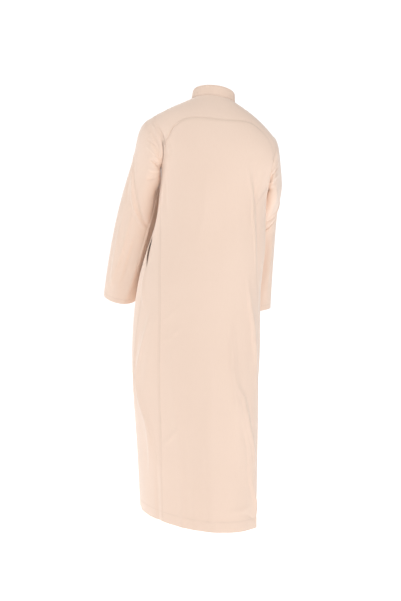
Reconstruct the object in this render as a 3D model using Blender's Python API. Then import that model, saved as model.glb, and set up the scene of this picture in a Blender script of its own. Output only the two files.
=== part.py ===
"""A thobe: a long robe with a band collar, worn, so its body and sleeves keep their hollow form.

Metres, +Z up. The origin is the middle of the neck's base on the shoulder line. The front faces -Y
and the wearer's left is +X. Every cloth piece is a thin closed wall. The body pieces are patches of
one form, body_point(), addressed by an angle round the wearer (0 = left, 90 = back, 180 = right,
270 = front) and a drop below the shoulders. The sleeves are lofted from the armholes to the cuffs.
"""
import math

import bpy
import mathutils
import numpy as np

# ---- driving dimensions -------------------------------------------------------------------------
CLOTH = 0.0015            # wall of a cloth piece
BAND = 0.0024             # wall of the collar, which is folded cloth
BAG = 0.0018              # wall of a pocket bag pressed flat
SEAM_GAP = 0.0003         # space between two pieces along their seam
COLLAR_HEIGHT = 0.034
COLLAR_LEAN = 0.004       # how far the band's top edge leans in
COLLAR_NOD = 0.20         # how far the band tips forward, as a slope
COLLAR_OVERLAP = 0.026    # length of the band's lapped front end
COLLAR_RADIUS = 0.070     # mean radius at the front, which turns that length into an angle
COLLAR_CLEAR = 0.0006     # space between the body's neck edge and the collar
PLACKET_WIDTH = 0.034
PLACKET_TOP = 0.020       # drop of the placket's top end below the neck row
PLACKET_END = 0.430       # drop of the placket's lower end
SLIT_END = 0.400          # drop where the cut in the front ends
POCKET_SLIT = (0.455, 0.625)   # drops of a pocket slit's ends
POCKET_GAPE = 0.0034      # how far a slit's front edge stands open
POCKET_DROPS = (0.440, 0.760)  # drops of a pocket bag's ends
POCKET_REACH = 34.0       # how far forward a bag goes, in degrees
POCKET_LAP = 2.0          # how far it passes behind the gore, in degrees
POCKET_CLEAR = 0.0022     # space between a bag and the cloth over it
BUTTON_RADIUS = 0.0058
BUTTON_THICKNESS = 0.0026
BUTTON_ROUND = 0.0006     # rounding of a button's edges
BUTTON_RIM = 0.0011       # width of the flat rim
BUTTON_DISH = 0.0005      # depth of the hollow inside the rim
BUTTON_DROPS = (0.105, 0.205, 0.305)
FRONT_CENTRE = 270.0      # angle of the front's centre line
ROOT_NAME = "thobe"

ROBE_COLOUR = (0.86, 0.69, 0.56, 1.0)
COLLAR_COLOUR = (0.84, 0.67, 0.54, 1.0)
BAG_COLOUR = (0.80, 0.65, 0.53, 1.0)
BUTTON_COLOUR = (0.82, 0.72, 0.60, 1.0)

# The body's rings, from the neck seam to the hem. A ring is an oval stretched across (half_width),
# front to back (half_depth) and along the diagonal between them; square fills its corners out. It
# is tipped sideways by roll, back to front by nod, and dips further at the front of the neck.
SECTION_COLUMNS = ("drop", "half_width", "half_depth", "diagonal", "centre_x", "centre_y",
                   "square", "roll", "nod", "dip")
SECTIONS = (
    (0.013, 0.0745, 0.068, 0.000, 0.000, 0.000, 0.00, 0.080, 0.310, 0.020),   # neck seam
    (0.043, 0.1300, 0.090, 0.000, -0.002, 0.004, 0.02, 0.113, 0.240, 0.012),
    (0.078, 0.1800, 0.114, 0.000, -0.004, 0.006, 0.03, 0.155, 0.150, 0.006),
    (0.110, 0.2060, 0.127, 0.000, -0.008, 0.006, 0.04, 0.170, 0.080, 0.002),  # shoulder points
    (0.170, 0.2090, 0.139, 0.000, -0.012, 0.004, 0.05, 0.170, 0.030, 0.000),
    (0.262, 0.1810, 0.142, 0.000, -0.006, 0.002, 0.05, 0.170, 0.000, 0.000),  # underarms
    (0.340, 0.1775, 0.140, 0.000, 0.0025, 0.000, 0.05, 0.120, 0.000, 0.000),
    (0.430, 0.1835, 0.137, 0.000, 0.0110, 0.000, 0.05, 0.070, 0.000, 0.000),  # waist
    (0.500, 0.1945, 0.140, -0.002, 0.0235, -0.001, 0.04, 0.040, 0.000, 0.000),
    (0.580, 0.2040, 0.146, -0.005, 0.0400, -0.003, 0.04, 0.015, 0.000, 0.000),
    (0.720, 0.2125, 0.157, -0.010, 0.0560, -0.006, 0.03, 0.000, 0.000, 0.000),  # hips
    (0.920, 0.2155, 0.175, -0.016, 0.0610, -0.009, 0.02, 0.000, 0.000, 0.000),
    (1.150, 0.2085, 0.200, -0.022, 0.0565, -0.012, 0.01, 0.030, 0.000, 0.000),
    (1.300, 0.2035, 0.218, -0.026, 0.0545, -0.013, 0.00, 0.060, 0.000, 0.000),
    (1.421, 0.1990, 0.233, -0.029, 0.0530, -0.014, 0.00, 0.080, 0.000, 0.000),  # hem
)
HEM_DROP = 1.421
NECK_DROP = 0.013

# Long seams: each one's angle at a drop, from its armhole to the hem.
SEAM_COLUMNS = ("drop", "angle")
SEAMS = {
    "back_left": ((0.250, 17.0), (0.340, 19.0), (0.416, 28.5), (0.486, 39.0), (0.570, 48.0),
                  (0.666, 53.5), (0.800, 54.5), (0.907, 53.5), (1.036, 52.0), (1.152, 50.5),
                  (1.277, 48.5), (1.421, 47.0)),
    "front_left": ((0.250, -17.0), (0.340, -8.0), (0.430, 8.0), (0.490, 17.0), (0.552, 24.0),
                   (0.620, 27.0), (0.720, 24.0), (0.920, 10.0), (1.150, -4.0), (1.421, -14.0)),
    "back_right": ((0.250, 163.0), (0.300, 149.0), (0.355, 139.0), (0.415, 139.0), (0.527, 145.5),
                   (0.682, 158.5), (0.850, 171.0), (0.960, 175.0), (1.150, 173.0), (1.421, 168.0)),
    "front_right": ((0.250, 192.0), (0.340, 176.0), (0.430, 172.5), (0.530, 175.0), (0.620, 182.0),
                    (0.720, 193.0), (0.850, 210.0), (0.960, 221.0), (1.150, 228.0), (1.421, 230.0)),
}

# The round seam between back and yoke, from the left armhole to the right one: angle and drop.
YOKE_SEAM_COLUMNS = ("share", "angle", "drop")
YOKE_SEAM = (
    (0.00, None, None),      # meets the left armhole at YOKE_END_LEFT
    (0.08, 40.5, 0.172),
    (0.15, 46.5, 0.146),
    (0.23, 52.5, 0.118),
    (0.30, 60.0, 0.099),
    (0.38, 70.0, 0.089),
    (0.48, 88.0, 0.085),
    (0.59, 107.0, 0.081),
    (0.70, 126.0, 0.076),
    (0.78, 136.5, 0.083),
    (0.85, 143.0, 0.102),
    (0.92, 146.5, 0.132),
    (1.00, None, None),      # meets the right armhole at YOKE_END_RIGHT
)

# Armholes, as loops round the body's side: turn 0 is the shoulder point, 90 the back, 180 the
# underarm and 270 the front.
ARMHOLE_COLUMNS = ("side", "top_drop", "bottom_drop", "middle_angle", "half_angle")
ARMHOLES = {
    "left": (0.090, 0.262, -1.0, 34.0),
    "right": (0.092, 0.262, 181.0, 30.0),
}
YOKE_END_LEFT = 104.0
YOKE_END_RIGHT = 92.0
SHOULDER_SEAM_TURN = -42.0      # where the front shoulder seam meets either armhole
SHOULDER_SEAM_ANGLE = 35.0      # how far in front of the side it meets the neck
GORE_TURN = 31.0                # a gore's top reaches this far either side of the underarm

# Sleeve sections, from armhole to cuff: the outer and inner edge as seen from behind, the middle's
# depth, half the width from front to back, and how far the section leans.
SLEEVE_COLUMNS = ("reach", "outer_x", "outer_z", "inner_x", "inner_z", "centre_y", "half_depth", "lean")
SLEEVES = {
    "left": (
        (0.00, 0.187, -0.060, 0.175, -0.230, 0.004, 0.082, 0.0),     # armhole
        (0.06, 0.224, -0.076, 0.181, -0.239, 0.002, 0.083, 0.0),
        (0.13, 0.250, -0.116, 0.183, -0.256, -0.006, 0.080, 0.0),
        (0.21, 0.264, -0.175, 0.183, -0.284, -0.020, 0.075, 0.0),
        (0.33, 0.290, -0.262, 0.182, -0.320, -0.040, 0.070, 4.0),
        (0.45, 0.315, -0.345, 0.188, -0.386, -0.055, 0.066, 8.0),
        (0.58, 0.335, -0.425, 0.201, -0.456, -0.066, 0.063, 12.0),   # elbow
        (0.72, 0.352, -0.508, 0.222, -0.530, -0.078, 0.060, 18.0),
        (0.86, 0.367, -0.595, 0.244, -0.612, -0.094, 0.056, 22.0),
        (1.00, 0.378, -0.668, 0.265, -0.685, -0.110, 0.051, 23.0),   # cuff
    ),
    "right": (
        (0.00, -0.199, -0.123, -0.192, -0.292, 0.002, 0.078, 0.0),   # armhole
        (0.06, -0.212, -0.136, -0.199, -0.300, -0.010, 0.078, 4.0),
        (0.13, -0.224, -0.174, -0.198, -0.312, -0.036, 0.075, 12.0),
        (0.21, -0.233, -0.236, -0.188, -0.334, -0.072, 0.072, 22.0),
        (0.33, -0.238, -0.302, -0.168, -0.368, -0.114, 0.069, 26.0),
        (0.45, -0.229, -0.362, -0.148, -0.412, -0.146, 0.065, 20.0),
        (0.58, -0.221, -0.442, -0.134, -0.462, -0.162, 0.060, 8.0),  # elbow
        (0.72, -0.215, -0.532, -0.124, -0.541, -0.165, 0.056, 4.0),
        (0.86, -0.209, -0.624, -0.116, -0.632, -0.164, 0.052, 3.0),
        (1.00, -0.204, -0.721, -0.108, -0.731, -0.162, 0.048, 3.0),  # cuff
    ),
}
ARMHOLE_BLEND = 0.26      # reach over which the armhole's own shape fades into the sections
BODY_RADIUS = 0.20        # the body's mean radius, which turns an angle into a width
SLEEVE_RADIUS = 0.065     # a sleeve's mean radius
SEAM_SETTLE = 0.10        # drop over which a long seam runs in to its armhole's corner

# The largest folds. On the body a fold runs in a straight line over angle and drop.
BODY_FOLD_COLUMNS = ("start_angle", "start_drop", "end_angle", "end_drop", "half_width", "height")
BODY_FOLDS = (
    (146.0, 0.66, 158.0, 1.02, 0.020, 0.0055),    # right back, upper fold
    (118.0, 0.78, 128.0, 1.22, 0.024, 0.0050),
    (124.0, 0.95, 150.0, 1.32, 0.022, 0.0060),
    (150.0, 1.10, 158.0, 1.75, 0.024, 0.0080),
    (62.0, 0.55, 30.0, 1.02, 0.030, 0.0050),      # left back, zigzag
    (24.0, 0.90, 46.0, 1.30, 0.028, 0.0060),
    (88.0, 1.00, 84.0, 1.80, 0.045, 0.0050),
    (140.0, 0.18, 132.0, 0.48, 0.016, -0.0040),   # drag below the right armhole
    (-52.0, 0.30, -60.0, 1.75, 0.040, 0.0070),    # front
    (-128.0, 0.28, -122.0, 1.75, 0.040, 0.0070),
    (-92.0, 0.60, -88.0, 1.85, 0.045, -0.0080),
    (-30.0, 0.62, -38.0, 1.70, 0.034, 0.0060),
    (-158.0, 0.70, -152.0, 1.70, 0.034, 0.0060),
    (-40.0, 0.16, -34.0, 0.42, 0.018, -0.0040),
)
# On a sleeve a fold runs over turn and reach.
SLEEVE_FOLD_COLUMNS = ("side", "start_turn", "start_reach", "end_turn", "end_reach", "half_width", "height")
SLEEVE_FOLDS = (
    ("left", 166.0, 0.10, 138.0, 0.68, 0.016, -0.0080),
    ("left", 60.0, 0.38, 118.0, 0.58, 0.018, -0.0035),
    ("left", 40.0, 0.52, 70.0, 0.98, 0.020, 0.0035),
    ("left", 130.0, 0.62, 100.0, 1.10, 0.018, 0.0030),
    ("left", 250.0, 0.45, 210.0, 0.64, 0.020, -0.0045),
    ("left", 290.0, 0.20, 270.0, 1.00, 0.022, 0.0035),
    ("right", 20.0, 0.50, 160.0, 0.60, 0.014, -0.0060),
    ("right", 60.0, 0.62, 80.0, 1.05, 0.020, 0.0030),
    ("right", 300.0, 0.20, 280.0, 0.50, 0.022, 0.0035),
    ("right", 250.0, 0.56, 270.0, 1.05, 0.022, 0.0035),
)

# ---- how finely the pieces are divided ---------------------------------------------------------
SEAM_ROWS = 24
ARMHOLE_BACK_ROWS = 4
ARMHOLE_FRONT_ROWS = 8
GORE_ROWS = 8
YOKE_SEAM_STEPS = 28
YOKE_SHOULDER_STEPS = 14
YOKE_ROWS = 5
NECK_FRONT_STEPS = 14
RELAX_FROM = 14           # the first row that is evened out, on the panels that round an armhole
RELAX_ROUNDS = 600
SLEEVE_ROWS = 17
COLLAR_STEPS = 46
COLLAR_ROWS = 2
POCKET_STEPS = 5
BUTTON_STEPS = 20


# ---- curves and the body's form ------------------------------------------------------------------
def smooth_curve(knots, values):
    """Return the natural cubic through the knots, as a function of any array of positions."""
    knots = np.asarray(knots, dtype=float)
    values = np.asarray(values, dtype=float).reshape(len(knots), -1)
    steps = np.diff(knots)
    slopes = np.diff(values, axis=0) / steps[:, None]
    system = np.eye(len(knots))
    bends = np.zeros_like(values)
    for i in range(1, len(knots) - 1):
        system[i, i - 1:i + 2] = (steps[i - 1], 2.0 * (steps[i - 1] + steps[i]), steps[i])
        bends[i] = 6.0 * (slopes[i] - slopes[i - 1])
    bends = np.linalg.solve(system, bends)

    def at(position):
        position = np.clip(np.asarray(position, dtype=float), knots[0], knots[-1])
        i = np.clip(np.searchsorted(knots, position) - 1, 0, len(knots) - 2)
        ahead = ((knots[i + 1] - position) / steps[i])[..., None]
        behind = 1.0 - ahead
        width = (steps[i] ** 2 / 6.0)[..., None]
        curve = (ahead ** 3 - ahead) * bends[i] + (behind ** 3 - behind) * bends[i + 1]
        return ahead * values[i] + behind * values[i + 1] + width * curve

    return at


def table_curve(rows):
    """Return the smooth curve through a table whose first column is the position."""
    rows = np.asarray(rows, dtype=float)
    return smooth_curve(rows[:, 0], rows[:, 1:])


section_at = table_curve(SECTIONS)
seam_at = {name: table_curve(rows) for name, rows in SEAMS.items()}
sleeve_at = {side: table_curve(rows) for side, rows in SLEEVES.items()}


def ridge(across, along, half_width, height):
    """Return a fold's height at a distance across it and a share along it."""
    ends = np.sin(np.pi * np.clip(along, 0.0, 1.0))
    return height * ends * np.exp(-(across / half_width) ** 2)


def body_fold(angle, drop):
    """Return how far all the folds push the cloth out at a place on the body."""
    push = np.zeros(np.broadcast(angle, drop).shape)
    for start_angle, start_drop, end_angle, end_drop, half_width, height in BODY_FOLDS:
        along = (drop - start_drop) / (end_drop - start_drop)
        middle = start_angle + (end_angle - start_angle) * np.clip(along, 0.0, 1.0)
        turn = (angle - middle + 180.0) % 360.0 - 180.0
        push = push + ridge(np.radians(turn) * BODY_RADIUS, along, half_width, height)
    return push


def body_point(angle, drop):
    """Return the outer face of the body's cloth at an angle (degrees) and a drop."""
    angle, drop = np.broadcast_arrays(np.asarray(angle, dtype=float), np.asarray(drop, dtype=float))
    row = np.moveaxis(section_at(drop), -1, 0)
    half_width, half_depth, diagonal, centre_x, centre_y, square, roll, nod, dip = row
    cosine = np.cos(np.radians(angle))
    sine = np.sin(np.radians(angle))
    swell = 1.0 + square * np.sin(2.0 * np.radians(angle)) ** 2
    lateral = (half_width * cosine + diagonal * sine) * swell
    fore = (diagonal * cosine + half_depth * sine) * swell
    facing = np.hypot(cosine / half_width, sine / half_depth)
    push = body_fold(angle, drop) / facing
    lateral = lateral + push * cosine / half_width
    fore = fore + push * sine / half_depth
    height = -drop + roll * lateral + nod * fore - dip * ((1.0 - sine) / 2.0) ** 2
    return np.stack([centre_x + lateral, centre_y + fore, height], axis=-1)


def unit(vectors):
    """Return vectors scaled to length one; a zero vector stays zero."""
    return vectors / np.maximum(np.linalg.norm(vectors, axis=-1, keepdims=True), 1e-12)


def body_normal(angle, drop):
    """Return the outward normal of the body's cloth."""
    round_step = body_point(angle + 0.4, drop) - body_point(angle - 0.4, drop)
    up_step = body_point(angle, drop - 0.002) - body_point(angle, drop + 0.002)
    return unit(np.cross(round_step, up_step))


def armhole_place(side, turn, scale=1.0):
    """Return the angle and drop of a place on an armhole; scale grows the loop about its middle."""
    top_drop, bottom_drop, middle_angle, half_angle = ARMHOLES[side]
    back = 1.0 if side == "left" else -1.0
    middle_drop = (top_drop + bottom_drop) / 2.0
    half_drop = (bottom_drop - top_drop) / 2.0
    angle = middle_angle + back * scale * half_angle * np.sin(np.radians(turn))
    drop = middle_drop - scale * half_drop * np.cos(np.radians(turn))
    return np.stack([angle, drop], axis=-1)


def armhole_turn(side, places):
    """Return each place's turn about an armhole, and which places lie on its loop."""
    top_drop, bottom_drop, middle_angle, half_angle = ARMHOLES[side]
    back = 1.0 if side == "left" else -1.0
    off_angle = (places[:, 0] - middle_angle + 180.0) % 360.0 - 180.0
    sine = back * off_angle / half_angle
    cosine = (top_drop + bottom_drop - 2.0 * places[:, 1]) / (bottom_drop - top_drop)
    return np.degrees(np.arctan2(sine, cosine)), np.abs(np.hypot(sine, cosine) - 1.0) < 1e-6


# ---- sleeves ----------------------------------------------------------------------------------------
def sleeve_point(side, turn, reach):
    """Return the outer face of a sleeve at a turn about the arm and a reach down it."""
    turn, reach = np.broadcast_arrays(np.asarray(turn, dtype=float), np.asarray(reach, dtype=float))

    def section(share):
        row = np.moveaxis(sleeve_at[side](share), -1, 0)
        outer_x, outer_z, inner_x, inner_z, centre_y, half_depth, lean = row
        cosine = np.cos(np.radians(turn))
        sine = np.sin(np.radians(turn))
        lean = np.radians(lean)
        x = (outer_x + inner_x) / 2.0 + (outer_x - inner_x) / 2.0 * cosine
        z = (outer_z + inner_z) / 2.0 + (outer_z - inner_z) / 2.0 * cosine
        y = centre_y + half_depth * sine * np.cos(lean)
        z = z - half_depth * sine * np.sin(lean)
        middle = np.stack([(outer_x + inner_x) / 2.0, centre_y, (outer_z + inner_z) / 2.0], axis=-1)
        return np.stack([x, y, z], axis=-1), middle

    point, middle = section(reach)
    place = armhole_place(side, turn)
    armhole = body_point(place[..., 0], place[..., 1])
    first, _ = section(np.zeros_like(reach))
    fade = np.clip(1.0 - reach / ARMHOLE_BLEND, 0.0, 1.0) ** 2
    point = point + fade[..., None] * (armhole - first)
    outward = unit(point - middle)
    push = np.zeros(turn.shape)
    for fold_side, start_turn, start_reach, end_turn, end_reach, half_width, height in SLEEVE_FOLDS:
        if fold_side != side:
            continue
        along = (reach - start_reach) / (end_reach - start_reach)
        centre = start_turn + (end_turn - start_turn) * np.clip(along, 0.0, 1.0)
        off = (turn - centre + 180.0) % 360.0 - 180.0
        push = push + ridge(np.radians(off) * SLEEVE_RADIUS, along, half_width, height)
    return point + push[..., None] * outward


def sleeve_normal(side, turn, reach):
    """Return the outward normal of a sleeve's cloth."""
    around = sleeve_point(side, turn + 2.0, reach) - sleeve_point(side, turn - 2.0, reach)
    ahead = np.minimum(reach + 0.01, 1.0)
    behind = np.maximum(reach - 0.01, 0.0)
    down = sleeve_point(side, turn, ahead) - sleeve_point(side, turn, behind)
    normal = unit(np.cross(down, around))
    return normal if side == "left" else -normal


# ---- building closed walls ---------------------------------------------------------------------
def material(name, colour, roughness):
    """Return a plain Principled material."""
    made = bpy.data.materials.new(name)
    made.use_nodes = True
    shader = made.node_tree.nodes["Principled BSDF"]
    shader.inputs["Base Color"].default_value = colour
    shader.inputs["Roughness"].default_value = roughness
    shader.inputs["Metallic"].default_value = 0.0
    return made


def add_object(name, points, faces, colour, roughness=0.85):
    """Make one named object with its own material."""
    mesh = bpy.data.meshes.new(name)
    mesh.from_pydata([tuple(point) for point in points], [], faces)
    mesh.validate()
    mesh.shade_smooth()
    mesh.set_sharp_from_angle(angle=math.radians(40.0))
    mesh.materials.append(material(name + "_material", colour, roughness))
    made = bpy.data.objects.new(name, mesh)
    bpy.context.scene.collection.objects.link(made)
    made.parent = bpy.data.objects.get(ROOT_NAME)
    return made


def open_edges(faces):
    """Return the directed edges that only one face uses, with the cloth on their left."""
    used = set()
    for face in faces:
        for start, end in zip(face, face[1:] + face[:1]):
            used.add((start, end))
    return [edge for edge in sorted(used) if (edge[1], edge[0]) not in used]


def cloth_wall(name, points, normals, faces, colour, wall=CLOTH, inset=SEAM_GAP / 2.0):
    """Turn a sheet of faces into a closed wall, drawn back by the inset along every open edge."""
    points = np.array(points, dtype=float)
    edges = open_edges(faces)
    pull = np.zeros_like(points)
    for start, end in edges:
        inward = unit(np.cross(normals[start] + normals[end], points[end] - points[start]))
        pull[start] += inward
        pull[end] += inward
    rim = sorted({index for edge in edges for index in edge})
    points[rim] += inset * unit(pull[rim])
    inner = points - wall * normals
    count = len(points)
    walls = [tuple(face) for face in faces]
    walls += [tuple(index + count for index in reversed(face)) for face in faces]
    walls += [(end, start, start + count, end + count) for start, end in edges]
    return add_object(name, np.vstack([points, inner]), walls, colour)


def grid_faces(rows, columns, closed=False):
    """Return the quads of a grid whose rows run up and whose columns run round to the left."""
    faces = []
    for row in range(rows - 1):
        for column in range(columns if closed else columns - 1):
            after = (column + 1) % columns
            low = row * columns
            high = low + columns
            faces.append((low + column, low + after, high + after, high + column))
    return faces


def coons(left, right, bottom, top):
    """Fill four boundary curves of (angle, drop) with a grid; rows run from bottom to top."""
    up = np.linspace(0.0, 1.0, len(left))[:, None, None]
    across = np.linspace(0.0, 1.0, len(bottom))[None, :, None]
    between_rows = (1.0 - up) * bottom[None] + up * top[None]
    between_columns = (1.0 - across) * left[:, None] + across * right[:, None]
    corners = ((1.0 - up) * ((1.0 - across) * bottom[0] + across * bottom[-1])
               + up * ((1.0 - across) * top[0] + across * top[-1]))
    return between_rows + between_columns - corners


def relax(places, first_row=0, held=None):
    """Even out a patch's rows so that none folds over another; its edges and held column stay."""
    scale = np.array([np.radians(BODY_RADIUS), 1.0])
    grid = places[first_row:] * scale
    kept = None if held is None else grid[:, held].copy()
    for _ in range(RELAX_ROUNDS):
        up = grid[2:, 1:-1] - grid[:-2, 1:-1]
        across = grid[1:-1, 2:] - grid[1:-1, :-2]
        rise = (up ** 2).sum(axis=-1, keepdims=True)
        run = (across ** 2).sum(axis=-1, keepdims=True)
        skew = (up * across).sum(axis=-1, keepdims=True)
        twist = grid[2:, 2:] - grid[2:, :-2] - grid[:-2, 2:] + grid[:-2, :-2]
        level = grid[1:-1, 2:] + grid[1:-1, :-2]
        upright = grid[2:, 1:-1] + grid[:-2, 1:-1]
        grid[1:-1, 1:-1] = (rise * level + run * upright - 0.5 * skew * twist) / (2.0 * (rise + run))
        if held is not None:
            grid[:, held] = kept
    relaxed = places.copy()
    relaxed[first_row:] = grid / scale
    return relaxed


def join_runs(*runs):
    """Join curves end to end, dropping each repeated end point."""
    joined = [runs[0]]
    joined += [run[1:] for run in runs[1:]]
    return np.vstack(joined)


def straight_run(start, end, steps):
    """Return evenly spaced places from start to end."""
    share = np.linspace(0.0, 1.0, steps + 1)[:, None]
    return (1.0 - share) * np.asarray(start) + share * np.asarray(end)


# ---- seam lines, shared by the pieces on both sides ------------------------------------------------
def seam_run(name):
    """Return a long seam from the hem up to its armhole, with rows closer together near the top."""
    side = "left" if name.endswith("left") else "right"
    share = np.linspace(0.0, 1.0, SEAM_ROWS + 1)
    corner_turn = 180.0 - GORE_TURN if name.startswith("back") else 180.0 + GORE_TURN
    corner = armhole_place(side, corner_turn)
    share = 1.0 - (1.0 - share) ** 1.25
    drop = HEM_DROP + (corner[1] - HEM_DROP) * share
    angle = seam_at[name](drop)[:, 0]
    settle = np.clip(1.0 - (drop - corner[1]) / SEAM_SETTLE, 0.0, 1.0) ** 2
    angle = angle + settle * (corner[0] - angle[-1])
    return np.stack([angle, drop], axis=-1)


def armhole_run(side, start_turn, end_turn, steps):
    """Return part of an armhole."""
    return armhole_place(side, np.linspace(start_turn, end_turn, steps + 1))


def yoke_seam_run():
    """Return the round seam over the back, from the left armhole to the right one."""
    rows = [list(row) for row in YOKE_SEAM]
    rows[0][1:] = armhole_place("left", YOKE_END_LEFT)
    rows[-1][1:] = armhole_place("right", YOKE_END_RIGHT)
    return table_curve(rows)(np.linspace(0.0, 1.0, YOKE_SEAM_STEPS + 1))


def shoulder_run(side):
    """Return the front shoulder seam, from the armhole up to the neck."""
    outside = armhole_place(side, SHOULDER_SEAM_TURN)
    inside_angle = -SHOULDER_SEAM_ANGLE if side == "left" else 180.0 + SHOULDER_SEAM_ANGLE
    return straight_run(outside, (inside_angle, NECK_DROP), YOKE_ROWS)


def mitre(own, other):
    """Lean one piece's rim normals towards the other's where the two meet over a ridge."""
    agree = np.clip(2.0 * (own * other).sum(axis=-1, keepdims=True), 0.0, 1.0)
    return unit(own + agree * other)


# ---- the pieces ----------------------------------------------------------------------------------
def place_sheet(name, places, faces, colour):
    """Make a body panel from its grid of places; its armhole edges are mitred to the sleeves."""
    flat = places.reshape(-1, 2)
    points = body_point(flat[:, 0], flat[:, 1])
    normals = body_normal(flat[:, 0], flat[:, 1])
    for side in ("left", "right"):
        turn, on_loop = armhole_turn(side, flat)
        other = sleeve_normal(side, turn, np.zeros(len(turn)))
        normals[on_loop] = mitre(normals, other)[on_loop]
    return cloth_wall(name, points, normals, faces, colour)


def back_places():
    """Return the back's grid: hem to yoke seam, left seam to right seam."""
    left = join_runs(seam_run("back_left"),
                     armhole_run("left", 180.0 - GORE_TURN, YOKE_END_LEFT, ARMHOLE_BACK_ROWS))
    right = join_runs(seam_run("back_right"),
                      armhole_run("right", 180.0 - GORE_TURN, YOKE_END_RIGHT, ARMHOLE_BACK_ROWS))
    bottom = straight_run(left[0], right[0], YOKE_SEAM_STEPS)
    return relax(coons(left, right, bottom, yoke_seam_run()), RELAX_FROM)


def make_back():
    """The back: one long panel with a rounded top."""
    places = back_places()
    place_sheet("back", places, grid_faces(*places.shape[:2]), ROBE_COLOUR)


def gore_places(side):
    """Return a gore's grid between its two seams."""
    first, last = ("front_left", "back_left") if side == "left" else ("back_right", "front_right")
    start = seam_run(first)
    end = seam_run(last)
    low, high = 180.0 + GORE_TURN, 180.0 - GORE_TURN
    top = armhole_run(side, low, high, GORE_ROWS)
    if side == "right":
        top = top[::-1]
    bottom = straight_run(start[0], end[0], GORE_ROWS)
    return coons(start, end, bottom, top)


def make_gore(side):
    """A side gore: a long wedge from the underarm to the hem."""
    places = gore_places(side)
    place_sheet("gore_" + side, places, grid_faces(*places.shape[:2]), ROBE_COLOUR)


def front_places():
    """Return the front's grid, from the right side round to the left."""
    right = join_runs(seam_run("front_right"),
                      armhole_run("right", 180.0 + GORE_TURN, 360.0 + SHOULDER_SEAM_TURN,
                                  ARMHOLE_FRONT_ROWS))
    left = join_runs(seam_run("front_left"),
                     armhole_run("left", 180.0 + GORE_TURN, 360.0 + SHOULDER_SEAM_TURN,
                                 ARMHOLE_FRONT_ROWS))
    left = left + np.array([360.0, 0.0])
    shoulder_left = shoulder_run("left")[::-1] + np.array([360.0, 0.0])
    neck = straight_run(shoulder_run("right")[-1], shoulder_left[0], NECK_FRONT_STEPS)
    top = join_runs(shoulder_run("right"), neck, shoulder_left)
    bottom = straight_run(right[0], left[0], len(top) - 1)
    places = coons(right, left, bottom, top)
    middle = len(top) // 2
    drift = FRONT_CENTRE - places[:, middle, 0]
    near = 1.0 - np.abs(np.arange(len(top)) - middle) / middle
    places[:, :, 0] += drift[:, None] * near[None]
    return relax(places, RELAX_FROM, middle)


def gape(places):
    """Open the front's two edges a little beside the pocket slits."""
    for column, pull in ((0, 1.0), (-1, -1.0)):
        drop = places[:, column, 1]
        share = np.clip((drop - POCKET_SLIT[0]) / (POCKET_SLIT[1] - POCKET_SLIT[0]), 0.0, 1.0)
        opening = POCKET_GAPE * np.sin(np.pi * share)
        places[:, column, 0] += pull * np.degrees(opening / BODY_RADIUS)
    return places




def make_front():
    """The front: one long panel, cut open from the neck down its centre line."""
    places = gape(front_places())
    rows, columns = places.shape[:2]
    centre = columns // 2
    faces = []
    flat = places.reshape(-1, 2)
    doubled = {}
    extra = []
    for row in range(rows):
        if places[row, centre, 1] < SLIT_END:
            doubled[row * columns + centre] = len(flat) + len(extra)
            extra.append(places[row, centre])
    for face in grid_faces(rows, columns):
        beyond = face[0] % columns >= centre
        faces.append(tuple(doubled.get(index, index) if beyond else index for index in face))
    place_sheet("front", np.vstack([flat, np.array(extra)]), faces, ROBE_COLOUR)


def make_yoke():
    """The yoke: a curved piece round the back of the neck and over both shoulders."""
    outer = join_runs(
        armhole_run("left", SHOULDER_SEAM_TURN, YOKE_END_LEFT, YOKE_SHOULDER_STEPS),
        yoke_seam_run(),
        armhole_run("right", YOKE_END_RIGHT, SHOULDER_SEAM_TURN, YOKE_SHOULDER_STEPS))
    inner = straight_run(shoulder_run("left")[-1], shoulder_run("right")[-1], len(outer) - 1)
    places = relax(coons(shoulder_run("left"), shoulder_run("right"), outer, inner))
    place_sheet("yoke", places, grid_faces(*places.shape[:2]), ROBE_COLOUR)


def sleeve_turns():
    """Return the turns at which a sleeve and the body pieces share the armhole's points."""
    corner_back = 180.0 - GORE_TURN
    corner_front = 180.0 + GORE_TURN
    runs = {}
    for side, yoke_end in (("left", YOKE_END_LEFT), ("right", YOKE_END_RIGHT)):
        runs[side] = join_runs(
            np.linspace(SHOULDER_SEAM_TURN, yoke_end, YOKE_SHOULDER_STEPS + 1)[:, None],
            np.linspace(yoke_end, corner_back, ARMHOLE_BACK_ROWS + 1)[:, None],
            np.linspace(corner_back, corner_front, GORE_ROWS + 1)[:, None],
            np.linspace(corner_front, 360.0 + SHOULDER_SEAM_TURN, ARMHOLE_FRONT_ROWS + 1)[:, None])
        runs[side] = runs[side][:-1, 0]
    return runs


def make_sleeve(side):
    """A set-in sleeve, lofted from the armhole to the cuff."""
    turns = sleeve_turns()[side]
    reaches = np.linspace(1.0, 0.0, SLEEVE_ROWS + 1) ** 1.15
    turn, reach = np.meshgrid(turns, reaches)
    points = sleeve_point(side, turn, reach)
    normals = sleeve_normal(side, turn, reach)
    place = armhole_place(side, turns)
    wider = armhole_place(side, turns, 1.04)
    away_on_body = unit(body_point(wider[:, 0], wider[:, 1]) - body_point(place[:, 0], place[:, 1]))
    down_sleeve = unit(sleeve_point(side, turns, np.full(len(turns), 0.03)) - points[-1])
    points[-1] += SEAM_GAP * unit(down_sleeve - away_on_body)
    normals[-1] = mitre(normals[-1], body_normal(place[:, 0], place[:, 1]))
    faces = grid_faces(*turn.shape, closed=True)
    if side == "right":
        faces = [tuple(reversed(face)) for face in faces]
    cloth_wall("sleeve_" + side, points.reshape(-1, 3), normals.reshape(-1, 3), faces, ROBE_COLOUR)


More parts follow.
